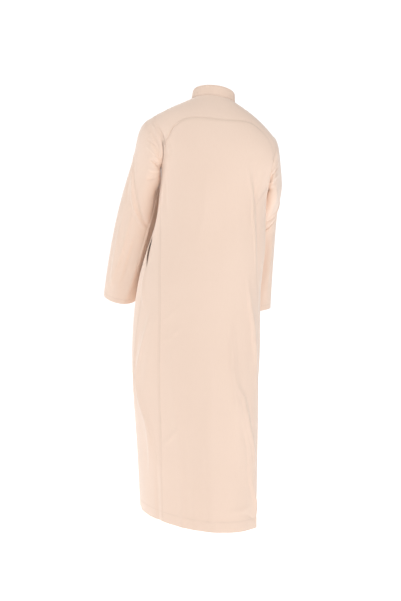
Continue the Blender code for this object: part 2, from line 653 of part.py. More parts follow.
def collar_point(angle, height, out):
    """Return a place on the collar's outer face: an angle, a height and an extra distance out."""
    base = body_point(angle, NECK_DROP)
    row = section_at(NECK_DROP)
    axis = np.array([-row[6], -COLLAR_NOD, 1.0])
    axis = axis / np.linalg.norm(axis)
    outward = np.stack([np.cos(np.radians(angle)), np.sin(np.radians(angle)), 0.0 * angle], axis=-1)
    lean = COLLAR_LEAN * height / COLLAR_HEIGHT
    return base + height[..., None] * axis + (out - lean)[..., None] * outward




def make_collar():
    """The band collar: one strip round the neck, its left end lapped over its right end."""
    lap = np.degrees(COLLAR_OVERLAP / 2.0 / COLLAR_RADIUS)
    angle = np.linspace(-90.0 - lap, 270.0 + lap, COLLAR_STEPS + 1)
    height = COLLAR_CLEAR + np.linspace(0.0, 1.0, COLLAR_ROWS + 1) * COLLAR_HEIGHT
    angle, height = np.meshgrid(angle, height)
    rise = np.clip((-90.0 + 2.0 * lap - angle) / lap, 0.0, 1.0)
    out = (BAND + 2.0 * SEAM_GAP) * rise * rise * (3.0 - 2.0 * rise)
    points = collar_point(angle, height, out)
    outward = np.stack([np.cos(np.radians(angle)), np.sin(np.radians(angle)), 0.0 * angle], axis=-1)
    cloth_wall("collar", points.reshape(-1, 3), unit(outward).reshape(-1, 3),
               grid_faces(*angle.shape), COLLAR_COLOUR, wall=BAND, inset=0.0)


def placket_rows():
    """Return the front's own row places down its centre line, within the placket."""
    places = front_places()
    centre = places[:, places.shape[1] // 2]
    return centre[(centre[:, 1] > PLACKET_TOP) & (centre[:, 1] < PLACKET_END)]


def make_placket():
    """The placket: a strip lying on the front over the cut, made from the front's own rows."""
    rows = placket_rows()
    across = np.linspace(-0.5, 0.5, 5) * PLACKET_WIDTH
    speed = np.linalg.norm(body_point(rows[:, 0] + 0.5, rows[:, 1])
                           - body_point(rows[:, 0] - 0.5, rows[:, 1]), axis=-1)
    angle = rows[:, 0, None] + across[None] / speed[:, None]
    drop = np.repeat(rows[:, 1, None], len(across), axis=1)
    normals = body_normal(angle, drop).reshape(-1, 3)
    points = body_point(angle, drop).reshape(-1, 3) + (CLOTH + 2.0 * SEAM_GAP) * normals
    cloth_wall("placket", points, normals, grid_faces(*angle.shape), COLLAR_COLOUR, inset=0.0)


def make_pocket(side):
    """A pocket bag, lying flat against the inside of the front behind its slit."""
    column = -1 if side == "left" else 0
    forward = -1.0 if side == "left" else 1.0
    edge = front_places()[:, column]
    edge = edge[(edge[:, 1] > POCKET_DROPS[0]) & (edge[:, 1] < POCKET_DROPS[1])]
    share = np.linspace(0.0, 1.0, POCKET_STEPS + 1)
    depth = (edge[:, 1] - POCKET_DROPS[0]) / (POCKET_DROPS[1] - POCKET_DROPS[0])
    reach = POCKET_REACH * (0.55 + 0.45 * np.sin(np.pi * np.clip(depth, 0.1, 0.9)))
    span = forward * (-POCKET_LAP + share[None] * (reach[:, None] + POCKET_LAP))
    if side == "left":
        span = span[:, ::-1]
    angle = edge[:, 0, None] + span
    drop = np.repeat(edge[:, 1, None], len(share), axis=1)
    normals = body_normal(angle, drop).reshape(-1, 3)
    points = body_point(angle, drop).reshape(-1, 3) - (CLOTH + POCKET_CLEAR) * normals
    cloth_wall("pocket_" + side, points, normals, grid_faces(*angle.shape), BAG_COLOUR,
               wall=BAG, inset=0.0)


def make_button(name, centre, normal):
    """A round button with a raised rim, its back at the centre point and facing the normal."""
    crown = BUTTON_RADIUS - BUTTON_ROUND
    profile = (
        (crown, 0.0),
        (BUTTON_RADIUS, BUTTON_ROUND),
        (BUTTON_RADIUS, BUTTON_THICKNESS - BUTTON_ROUND),
        (crown, BUTTON_THICKNESS),
        (crown - BUTTON_RIM, BUTTON_THICKNESS),
        (crown - BUTTON_RIM - BUTTON_DISH, BUTTON_THICKNESS - BUTTON_DISH),
    )
    points = []
    for radius, height in profile:
        for step in range(BUTTON_STEPS):
            turn = 2.0 * math.pi * step / BUTTON_STEPS
            points.append((radius * math.cos(turn), radius * math.sin(turn), height))
    faces = grid_faces(len(profile), BUTTON_STEPS, closed=True)
    last = len(points) - BUTTON_STEPS
    faces.append(tuple(reversed(range(BUTTON_STEPS))))
    faces.append(tuple(range(last, last + BUTTON_STEPS)))
    button = add_object(name, points, faces, BUTTON_COLOUR, roughness=0.4)
    button.location = centre
    button.rotation_mode = "QUATERNION"
    button.rotation_quaternion = mathutils.Vector(normal).to_track_quat("Z", "Y")


def make_buttons():
    """Three buttons down the placket and one on the collar's lapped end."""
    lift = CLOTH + 5.0 * SEAM_GAP
    for number, drop in enumerate(BUTTON_DROPS, start=1):
        normal = body_normal(FRONT_CENTRE, drop)
        make_button("button_%d" % number, body_point(FRONT_CENTRE, drop) + lift * normal, normal)
    angle = np.array(FRONT_CENTRE)
    outward = np.array([0.0, -1.0, 0.0])
    height = np.array(COLLAR_CLEAR + COLLAR_HEIGHT / 2.0)
    out = np.array(BAND + 5.0 * SEAM_GAP)
    make_button("button_collar", collar_point(angle, height, out), outward)


def main():
    """Build the robe."""
    for old in list(bpy.data.objects):
        bpy.data.objects.remove(old, do_unlink=True)
    root = bpy.data.objects.new(ROOT_NAME, None)
    bpy.context.scene.collection.objects.link(root)
    make_back()
    make_front()
    make_yoke()
    for side in ("left", "right"):
        make_gore(side)
        make_sleeve(side)
        make_pocket(side)
    make_collar()
    make_placket()
    make_buttons()
    bpy.context.view_layer.update()


main()
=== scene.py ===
"""The look of a long robe with a band collar, dressed over its solids.

Metres, in the solids' frame: the origin is the middle of the neck's base, the front faces -Y and
the wearer's left is +X. The cloth is the solids' own form, divided finely, with creases, sewn
seams and rows of stitches laid on it. A place on the body is an angle round the wearer (0 = left,
90 = back, 180 = right, 270 = front) and a drop below the shoulders; a place on a sleeve is a turn
about the arm (0 = outside, 90 = back) and a reach, the share of the way to the cuff.
"""

import bpy
import mathutils
import numpy as np
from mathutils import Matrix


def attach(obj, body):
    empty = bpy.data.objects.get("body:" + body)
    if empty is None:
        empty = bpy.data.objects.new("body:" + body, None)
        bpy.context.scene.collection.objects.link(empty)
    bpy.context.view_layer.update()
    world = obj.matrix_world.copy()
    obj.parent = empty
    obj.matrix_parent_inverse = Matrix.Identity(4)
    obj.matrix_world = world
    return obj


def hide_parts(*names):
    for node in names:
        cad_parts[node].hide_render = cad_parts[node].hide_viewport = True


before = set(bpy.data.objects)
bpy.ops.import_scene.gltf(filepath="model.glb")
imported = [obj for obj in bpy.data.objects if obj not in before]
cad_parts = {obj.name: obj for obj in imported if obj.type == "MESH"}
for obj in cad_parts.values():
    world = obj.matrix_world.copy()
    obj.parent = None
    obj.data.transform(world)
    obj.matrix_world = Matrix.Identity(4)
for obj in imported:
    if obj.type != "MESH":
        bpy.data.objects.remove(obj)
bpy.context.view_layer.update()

SIDES = ("left", "right")
FRONT_CENTRE = 270.0
TINY = 1e-12                    # keeps a division from dividing by zero
SLACK = 1e-9                    # lets a number that ends a span count as in it
COLLAR_HEIGHT = 0.034
COLLAR_LEAN = 0.004
COLLAR_NOD = 0.20
COLLAR_CLEAR = 0.0002           # between the collar and its seam
COLLAR_LAP = np.degrees(0.013 / 0.070)      # each end's lap past the front's centre line
COLLAR_WAVE = 0.0005            # how far its top edge waves in and out
COLLAR_WAVES = 5.0              # how many times round
COLLAR_FINENESS = (220, 0.6, 35)        # columns, how much they crowd to the ends, rows
COLLAR_SHADE = 0.0016           # width of the painted shade along its seam
BAND = 0.0024                   # a collar's thickness
BAND_GAP = 0.0006               # between the collar's lapped ends, and under the placket
PLACKET_WIDTH = 0.034
PLACKET_DROPS = (0.026, 0.428)
PLACKET_FINENESS = (28, 0.5, 200)
PLACKET_GROOVE = (0.0004, 0.0010)       # depth and width, along its stitches
PLACKET_EDGE = (0.0005, 0.0008)         # and where its edge is rounded
SLIT_END = 0.400                # the front is cut open down to here
POCKET_OPEN = (0.468, 0.566)    # the stretch of a pocket's slit that gapes
POCKET_GAPE = 0.0034
POCKET_LIFTS = {"left": 0.0060, "right": 0.0008}     # how far the front's edge stands out there
POCKET_BULGE = 0.016            # width over which it does
POCKET_ROUND = 1.5              # a higher power makes that bulge narrower
POCKET_DROPS = (0.440, 0.760)
POCKET_MARGIN = 0.004
POCKET_FINENESS = (400, 24)     # rows down its whole seam, columns
POCKET_REACH = 34.0             # how far a bag reaches under the front, in degrees
POCKET_TAPER = 0.55             # share of that reach left at its top and bottom
POCKET_ENDS = (0.1, 0.9)        # beyond these shares of its length it tapers no more
POCKET_LAP = 2.0                # and how far behind the gore beside it
POCKET_CLEAR = 0.0022
CLOTH = 0.0015                  # the solids' thickness
SHELL = 0.0010                  # the dressed cloth's thickness
BAG = 0.0012                    # a pocket's and the placket's thickness
TURNING = 0.0006                # how much thicker a turned hem is

# ---- the form, as the solids have it ------------------------------------------------------------
# The body's rings, from the neck seam to the hem. A ring is an oval stretched across (half_width),
# front to back (half_depth) and along the diagonal between them; square fills its corners out. It
# is tipped sideways by roll, back to front by nod, and dips further at the front of the neck.
# Columns: drop, half_width, half_depth, diagonal, centre_x, centre_y, square, roll, nod, dip
SECTIONS = (
    (0.013, 0.0745, 0.068, 0.000, 0.000, 0.000, 0.00, 0.080, 0.310, 0.020),   # neck seam
    (0.043, 0.1300, 0.090, 0.000, -0.002, 0.004, 0.02, 0.113, 0.240, 0.012),
    (0.078, 0.1800, 0.114, 0.000, -0.004, 0.006, 0.03, 0.155, 0.150, 0.006),
    (0.110, 0.2060, 0.127, 0.000, -0.008, 0.006, 0.04, 0.170, 0.080, 0.002),  # shoulder points
    (0.170, 0.2090, 0.139, 0.000, -0.012, 0.004, 0.05, 0.170, 0.030, 0.000),
    (0.262, 0.1810, 0.142, 0.000, -0.006, 0.002, 0.05, 0.170, 0.000, 0.000),  # underarms
    (0.340, 0.1775, 0.140, 0.000, 0.0025, 0.000, 0.05, 0.120, 0.000, 0.000),
    (0.430, 0.1835, 0.137, 0.000, 0.0110, 0.000, 0.05, 0.070, 0.000, 0.000),  # waist
    (0.500, 0.1945, 0.140, -0.002, 0.0235, -0.001, 0.04, 0.040, 0.000, 0.000),
    (0.580, 0.2040, 0.146, -0.005, 0.0400, -0.003, 0.04, 0.015, 0.000, 0.000),
    (0.720, 0.2125, 0.157, -0.010, 0.0560, -0.006, 0.03, 0.000, 0.000, 0.000),  # hips
    (0.920, 0.2155, 0.175, -0.016, 0.0610, -0.009, 0.02, 0.000, 0.000, 0.000),
    (1.150, 0.2085, 0.200, -0.022, 0.0565, -0.012, 0.01, 0.030, 0.000, 0.000),
    (1.300, 0.2035, 0.218, -0.026, 0.0545, -0.013, 0.00, 0.060, 0.000, 0.000),
    (1.421, 0.1990, 0.233, -0.029, 0.0530, -0.014, 0.00, 0.080, 0.000, 0.000),  # hem
)
HEM_DROP = 1.421
NECK_DROP = 0.013

# Long seams: each one's drop and angle, from its armhole to the hem.
SEAMS = {
    "back_left": ((0.250, 17.0), (0.340, 19.0), (0.416, 28.5), (0.486, 39.0), (0.570, 48.0),
                  (0.666, 53.5), (0.800, 54.5), (0.907, 53.5), (1.036, 52.0), (1.152, 50.5),
                  (1.277, 48.5), (1.421, 47.0)),
    "front_left": ((0.250, -17.0), (0.340, -8.0), (0.430, 8.0), (0.490, 17.0), (0.552, 24.0),
                   (0.620, 27.0), (0.720, 24.0), (0.920, 10.0), (1.150, -4.0), (1.421, -14.0)),
    "back_right": ((0.250, 163.0), (0.300, 149.0), (0.355, 139.0), (0.415, 139.0), (0.527, 145.5),
                   (0.682, 158.5), (0.850, 171.0), (0.960, 175.0), (1.150, 173.0), (1.421, 168.0)),
    "front_right": ((0.250, 192.0), (0.340, 176.0), (0.430, 172.5), (0.530, 175.0), (0.620, 182.0),
                    (0.720, 193.0), (0.850, 210.0), (0.960, 221.0), (1.150, 228.0),
                    (1.421, 230.0)),
}

# The round seam between back and yoke, from the left armhole to the right one.
# Columns: share, angle, drop
YOKE_SEAM = (
    (0.00, None, None),      # meets the left armhole at YOKE_END_LEFT
    (0.08, 40.5, 0.172),
    (0.15, 46.5, 0.146),
    (0.23, 52.5, 0.118),
    (0.30, 60.0, 0.099),
    (0.38, 70.0, 0.089),
    (0.48, 88.0, 0.085),
    (0.59, 107.0, 0.081),
    (0.70, 126.0, 0.076),
    (0.78, 136.5, 0.083),
    (0.85, 143.0, 0.102),
    (0.92, 146.5, 0.132),
    (1.00, None, None),      # meets the right armhole at YOKE_END_RIGHT
)

# Armholes, as loops round the body's side: turn 0 is the shoulder point, 90 the back, 180 the
# underarm and 270 the front. Columns: top_drop, bottom_drop, middle_angle, half_angle
ARMHOLES = {
    "left": (0.090, 0.262, -1.0, 34.0),
    "right": (0.092, 0.262, 181.0, 30.0),
}
YOKE_END_LEFT = 104.0
YOKE_END_RIGHT = 92.0
SHOULDER_SEAM_TURN = -42.0      # where the front shoulder seam meets either armhole
SHOULDER_SEAM_ANGLE = 35.0      # how far in front of the side it meets the neck
GORE_TURN = 31.0                # a gore's top reaches this far either side of the underarm

# Sleeve sections, from armhole to cuff: the outer and inner edge as seen from behind, the middle's
# depth, half the width from front to back, and how far the section leans.
# Columns: reach, outer_x, outer_z, inner_x, inner_z, centre_y, half_depth, lean
SLEEVES = {
    "left": (
        (0.00, 0.187, -0.060, 0.175, -0.230, 0.004, 0.082, 0.0),     # armhole
        (0.06, 0.224, -0.076, 0.181, -0.239, 0.002, 0.083, 0.0),
        (0.13, 0.250, -0.116, 0.183, -0.256, -0.006, 0.080, 0.0),
        (0.21, 0.264, -0.175, 0.183, -0.284, -0.020, 0.075, 0.0),
        (0.33, 0.290, -0.262, 0.182, -0.320, -0.040, 0.070, 4.0),
        (0.45, 0.315, -0.345, 0.188, -0.386, -0.055, 0.066, 8.0),
        (0.58, 0.335, -0.425, 0.201, -0.456, -0.066, 0.063, 12.0),   # elbow
        (0.72, 0.352, -0.508, 0.222, -0.530, -0.078, 0.060, 18.0),
        (0.86, 0.367, -0.595, 0.244, -0.612, -0.094, 0.056, 22.0),
        (1.00, 0.378, -0.668, 0.265, -0.685, -0.110, 0.051, 23.0),   # cuff
    ),
    "right": (
        (0.00, -0.199, -0.123, -0.192, -0.292, 0.002, 0.078, 0.0),   # armhole
        (0.06, -0.212, -0.136, -0.199, -0.300, -0.010, 0.078, 4.0),
        (0.13, -0.224, -0.174, -0.198, -0.312, -0.036, 0.075, 12.0),
        (0.21, -0.233, -0.236, -0.188, -0.334, -0.072, 0.072, 22.0),
        (0.33, -0.238, -0.302, -0.168, -0.368, -0.114, 0.069, 26.0),
        (0.45, -0.229, -0.362, -0.148, -0.412, -0.146, 0.065, 20.0),
        (0.58, -0.221, -0.442, -0.134, -0.462, -0.162, 0.060, 8.0),  # elbow
        (0.72, -0.215, -0.532, -0.124, -0.541, -0.165, 0.056, 4.0),
        (0.86, -0.209, -0.624, -0.116, -0.632, -0.164, 0.052, 3.0),
        (1.00, -0.204, -0.721, -0.108, -0.731, -0.162, 0.048, 3.0),  # cuff
    ),
}
ARMHOLE_BLEND = 0.26      # reach over which the armhole's own shape fades into the sections
BODY_RADIUS = 0.20        # the body's mean radius, which turns an angle into a width
SLEEVE_RADIUS = 0.065     # a sleeve's mean radius
SEAM_SETTLE = 0.10        # drop over which a long seam runs in to its armhole's corner

# The largest folds. Each runs in a straight line over angle and drop, or turn and reach.
# Columns: start_angle, start_drop, end_angle, end_drop, half_width, height
BODY_FOLDS = (
    (146.0, 0.66, 158.0, 1.02, 0.020, 0.0055),    # right back, upper fold
    (118.0, 0.78, 128.0, 1.22, 0.024, 0.0050),
    (124.0, 0.95, 150.0, 1.32, 0.022, 0.0060),
    (150.0, 1.10, 158.0, 1.75, 0.024, 0.0080),
    (62.0, 0.55, 30.0, 1.02, 0.030, 0.0050),      # left back, zigzag
    (24.0, 0.90, 46.0, 1.30, 0.028, 0.0060),
    (88.0, 1.00, 84.0, 1.80, 0.045, 0.0050),
    (140.0, 0.18, 132.0, 0.48, 0.016, -0.0040),   # drag below the right armhole
    (-52.0, 0.30, -60.0, 1.75, 0.040, 0.0070),    # front
    (-128.0, 0.28, -122.0, 1.75, 0.040, 0.0070),
    (-92.0, 0.60, -88.0, 1.85, 0.045, -0.0080),
    (-30.0, 0.62, -38.0, 1.70, 0.034, 0.0060),
    (-158.0, 0.70, -152.0, 1.70, 0.034, 0.0060),
    (-40.0, 0.16, -34.0, 0.42, 0.018, -0.0040),
)
SLEEVE_FOLDS = {
    "left": (
        (166.0, 0.10, 138.0, 0.68, 0.016, -0.0080),
        (60.0, 0.38, 118.0, 0.58, 0.018, -0.0035),
        (40.0, 0.52, 70.0, 0.98, 0.020, 0.0035),
        (130.0, 0.62, 100.0, 1.10, 0.018, 0.0030),
        (250.0, 0.45, 210.0, 0.64, 0.020, -0.0045),
        (290.0, 0.20, 270.0, 1.00, 0.022, 0.0035),
    ),
    "right": (
        (20.0, 0.50, 160.0, 0.60, 0.014, -0.0060),
        (60.0, 0.62, 80.0, 1.05, 0.020, 0.0030),
        (300.0, 0.20, 280.0, 0.50, 0.022, 0.0035),
        (250.0, 0.56, 270.0, 1.05, 0.022, 0.0035),
    ),
}


def floats(first, second):
    """Return two arrays of numbers in one shape."""
    return np.broadcast_arrays(np.asarray(first, dtype=float), np.asarray(second, dtype=float))


def circle(angle):
    """Return the cosine and sine of angles in degrees."""
    return np.cos(np.radians(angle)), np.sin(np.radians(angle))


def bell(distance, width):
    """Return 1 where the distance is 0, falling smoothly away over a width."""
    return np.exp(-(distance / width) ** 2)


def unit(vectors):
    """Return vectors scaled to length one; a zero vector stays zero."""
    return vectors / np.maximum(np.linalg.norm(vectors, axis=-1, keepdims=True), TINY)


def smooth_curve(knots, values):
    """Return the natural cubic through the knots, as a function of any array of positions."""
    knots = np.asarray(knots, dtype=float)
    values = np.asarray(values, dtype=float).reshape(len(knots), -1)
    steps = np.diff(knots)
    slopes = np.diff(values, axis=0) / steps[:, None]
    system = np.eye(len(knots))
    bends = np.zeros_like(values)
    for i in range(1, len(knots) - 1):
        system[i, i - 1:i + 2] = (steps[i - 1], 2.0 * (steps[i - 1] + steps[i]), steps[i])
        bends[i] = 6.0 * (slopes[i] - slopes[i - 1])
    bends = np.linalg.solve(system, bends)

    def at(position):
        position = np.clip(np.asarray(position, dtype=float), knots[0], knots[-1])
        i = np.clip(np.searchsorted(knots, position) - 1, 0, len(knots) - 2)
        ahead = ((knots[i + 1] - position) / steps[i])[..., None]
        behind = 1.0 - ahead
        width = (steps[i] ** 2 / 6.0)[..., None]
        curve = (ahead ** 3 - ahead) * bends[i] + (behind ** 3 - behind) * bends[i + 1]
        return ahead * values[i] + behind * values[i + 1] + width * curve

    return at


def table_curve(rows):
    """Return the smooth curve through a table whose first column is the position."""
    rows = np.asarray(rows, dtype=float)
    return smooth_curve(rows[:, 0], rows[:, 1:])


section_at = table_curve(SECTIONS)
seam_at = {name: table_curve(rows) for name, rows in SEAMS.items()}
sleeve_at = {side: table_curve(rows) for side, rows in SLEEVES.items()}


def fold_push(folds, turn, run, radius):
    """Return how far the folds push the cloth out at places on a tube of a mean radius."""
    push = np.zeros(np.broadcast(turn, run).shape)
    for start_turn, start, end_turn, end, half_width, height in folds:
        along = (run - start) / (end - start)
        share = np.clip(along, 0.0, 1.0)
        off = (turn - start_turn - (end_turn - start_turn) * share + 180.0) % 360.0 - 180.0
        push = push + height * np.sin(np.pi * share) * bell(np.radians(off) * radius, half_width)
    return push


def body_point(angle, drop):
    """Return the outer face of the body's cloth at an angle (degrees) and a drop."""
    angle, drop = floats(angle, drop)
    row = np.moveaxis(section_at(drop), -1, 0)
    half_width, half_depth, diagonal, centre_x, centre_y, square, roll, nod, dip = row
    cosine, sine = circle(angle)
    swell = 1.0 + square * circle(2.0 * angle)[1] ** 2
    lateral = (half_width * cosine + diagonal * sine) * swell
    fore = (diagonal * cosine + half_depth * sine) * swell
    facing = np.hypot(cosine / half_width, sine / half_depth)
    push = fold_push(BODY_FOLDS, angle, drop, BODY_RADIUS) / facing
    lateral = lateral + push * cosine / half_width
    fore = fore + push * sine / half_depth
    height = -drop + roll * lateral + nod * fore - dip * ((1.0 - sine) / 2.0) ** 2
    return np.stack([centre_x + lateral, centre_y + fore, height], axis=-1)


def body_normal(angle, drop, turn_step=0.4, drop_step=0.002):
    """Return the outward normal of the body's cloth."""
    round_step = body_point(angle + turn_step, drop) - body_point(angle - turn_step, drop)
    up_step = body_point(angle, drop - drop_step) - body_point(angle, drop + drop_step)
    return unit(np.cross(round_step, up_step))


def armhole_place(side, turn):
    """Return the angle and drop of a place on an armhole."""
    top_drop, bottom_drop, middle_angle, half_angle = ARMHOLES[side]
    back = 1.0 if side == "left" else -1.0
    cosine, sine = circle(turn)
    angle = middle_angle + back * half_angle * sine
    drop = (top_drop + bottom_drop) / 2.0 - (bottom_drop - top_drop) / 2.0 * cosine
    return np.stack([angle, drop], axis=-1)


def sleeve_section(side, turn, reach):
    """Return the place at a turn on a sleeve's section, and the section's middle."""
    row = np.moveaxis(sleeve_at[side](reach), -1, 0)
    outer_x, outer_z, inner_x, inner_z, centre_y, half_depth, lean = row
    cosine, sine = circle(turn)
    level, tip = circle(lean)
    middle = np.stack([(outer_x + inner_x) / 2.0, centre_y, (outer_z + inner_z) / 2.0], axis=-1)
    across = np.stack([(outer_x - inner_x) / 2.0 * cosine, half_depth * sine * level,
                       (outer_z - inner_z) / 2.0 * cosine - half_depth * sine * tip], axis=-1)
    return middle + across, middle


def sleeve_point(side, turn, reach):
    """Return the outer face of a sleeve at a turn about the arm and a reach down it."""
    turn, reach = floats(turn, reach)
    point, middle = sleeve_section(side, turn, reach)
    place = armhole_place(side, turn)
    gap = body_point(place[..., 0], place[..., 1]) - sleeve_section(side, turn, 0.0 * reach)[0]
    fade = np.clip(1.0 - reach / ARMHOLE_BLEND, 0.0, 1.0) ** 2
    point = point + fade[..., None] * gap
    push = fold_push(SLEEVE_FOLDS[side], turn, reach, SLEEVE_RADIUS)
    return point + push[..., None] * unit(point - middle)


def sleeve_normal(side, turn, reach, turn_step=2.0, reach_step=0.01):
    """Return the outward normal of a sleeve's cloth."""
    around = (sleeve_point(side, turn + turn_step, reach)
              - sleeve_point(side, turn - turn_step, reach))
    down = (sleeve_point(side, turn, np.minimum(reach + reach_step, 1.0))
            - sleeve_point(side, turn, np.maximum(reach - reach_step, 0.0)))
    normal = unit(np.cross(down, around))
    return normal if side == "left" else -normal


# ---- creases ------------------------------------------------------------------------------------
# A crease runs along a smooth line of places. Its height is out of the cloth, its half width is
# across it, and lean makes one flank steeper than the other. It fades at "both" ends, at its "end"
# or at "none". In these tables widths, heights and drops are in millimetres, and reaches are in
# thousandths. Columns: half_width, height, lean, places
CREASE_GAIN = 1.35
CREASE_REACH = 2.8         # a crease's flank ends this many half widths away
FADE_POWER = 0.8
CREASE_POINTS = 40
BODY_CREASES = (
    # left armhole and shoulder blade
    (3.6, -3.4, 0.2, ((31, 132), (36, 160), (37.5, 185), (35, 215))),
    (5, 2.4, 0.3, ((38, 150), (42, 190), (39, 235))),
    (4.5, -1.2, -0.3, ((30, 165), (32, 195), (26, 229), (22, 262))),
    (10, -2.2, 0.2, ((26, 262), (32, 330), (40, 410))),
    (7, 2, 0.2, ((22, 270), (24, 320), (30, 370))),
    # under the right arm
    (11, -3.4, 0.4, ((123, 190), (130, 245), (137, 290), (143, 345), (146, 425), (151, 530),
        (158, 600))),
    (6, 3, 0.2, ((119, 200), (126, 250), (132.5, 290), (136, 337), (139.5, 425), (145, 531),
        (151, 585))),
    (26, 4, 0, ((166, 230), (170, 330), (172, 450), (176, 620))),
    # small of the back
    (20, 1.8, 0.1, ((60, 300), (63, 420), (60, 560))),
    (22, -1.6, 0, ((100, 280), (98, 420), (101, 600))),
    (16, 1.6, -0.2, ((122, 280), (118, 400), (121, 560))),
    (12, 1.2, 0.2, ((80, 240), (82, 360), (79, 480))),
    # skirt, right back
    (10, 5.8, 0.35, ((135, 580), (139.5, 667), (145.5, 750), (148.5, 815), (154, 900))),
    (10, 5.2, 0.3, ((118, 720), (119.5, 790), (120.5, 890), (122.5, 980), (124, 1080))),
    (8.5, 6.6, 0.35, ((123, 930), (127, 970), (132, 1000), (139, 1090), (145, 1140),
        (150, 1220))),
    (12, -3.5, 0.2, ((119, 1010), (130, 1090), (137, 1180), (140, 1270))),
    (9, 4, 0.3, ((139, 1200), (143, 1265), (151, 1330), (156, 1380))),
    (6, 1.4, 0.2, ((108, 1352), (122, 1356), (136, 1352), (148, 1344))),
    (6, -1.6, 0.2, ((128, 1372), (139, 1374), (150, 1392), (155, 1421))),
    # skirt, middle and left back
    (7.5, 1.3, 0.2, ((55, 745), (63, 720), (73, 680))),
    (7.5, 1.5, 0.2, ((55, 810), (64, 790), (76, 750))),
    (8, 1.8, 0.2, ((53, 1150), (60, 1130), (69, 1090))),
    # skirt, left side
    (12, 6, 0.3, ((42, 700), (38.5, 770), (27, 880), (22, 960), (30, 1040), (37, 1130),
        (31, 1290))),
    (13, -3.5, 0.2, ((30, 760), (18, 860), (12, 960), (18, 1060))),
    (10, 3, 0.2, ((24, 560), (27, 640), (35, 700))),
    # left front side and the hidden right side
    (13, 4, 0.3, ((176, 560), (182, 700), (180, 860), (188, 1000))),
    # front
    (11, -3.4, 0.3, ((-36, 180), (-42, 250), (-52, 330), (-60, 400))),
    (11, -3.4, 0.3, ((212, 180), (220, 250), (232, 330), (241, 390))),
    (8, 2.6, 0.2, ((-30, 240), (-40, 310), (-46, 390))),
    (8, 2.6, 0.2, ((205, 250), (214, 320), (221, 400))),
    (14, 3.6, 0.3, ((298, 470), (302, 640), (299, 860), (303, 1060))),
    (13, 3.4, 0.2, ((240, 460), (237, 640), (241, 860), (238, 1080))),
    (7, 2.2, 0.2, ((250, 420), (262, 445), (274, 450), (287, 425))),
)
HEM_CREASES = (            # these run up from the hem and fade at their end
    # skirt, middle and left back
    (20, 2.4, 0, ((98, 1421), (96, 1200), (99, 950), (97, 780))),
    (22, -2.2, 0, ((86, 1421), (87, 1180), (83, 960))),
    (16, 2.4, 0.1, ((68, 1421), (69, 1160), (66, 900), (69, 740))),
    # skirt, left side
    (12, -3, -0.2, ((41, 1421), (42, 1300), (44, 1180), (38, 1060))),
    # left front side and the hidden right side
    (16, 4, 0.3, ((-30, 1421), (-26, 1220), (-30, 1000), (-24, 800))),
    (14, -3.5, 0.2, ((2, 1421), (-2, 1260), (4, 1060))),
    (12, -3.5, 0.2, ((192, 1421), (188, 1250), (194, 1060))),
    (13, 4, 0.2, ((208, 1421), (206, 1240), (212, 1020), (208, 860))),
    # front
    (15, 4, -0.3, ((284, 1421), (286, 1180), (283, 900), (279, 680))),
    (15, 4, 0.3, ((256, 1421), (254, 1200), (258, 940), (262, 640))),
    (14, -3.6, 0.2, ((270, 1421), (269, 1200), (272, 960), (269, 700))),
    (12, 3.6, 0.3, ((226, 1421), (229, 1240), (225, 1040))),
    (12, 3.6, 0.3, ((312, 1421), (309, 1230), (313, 1020))),
)
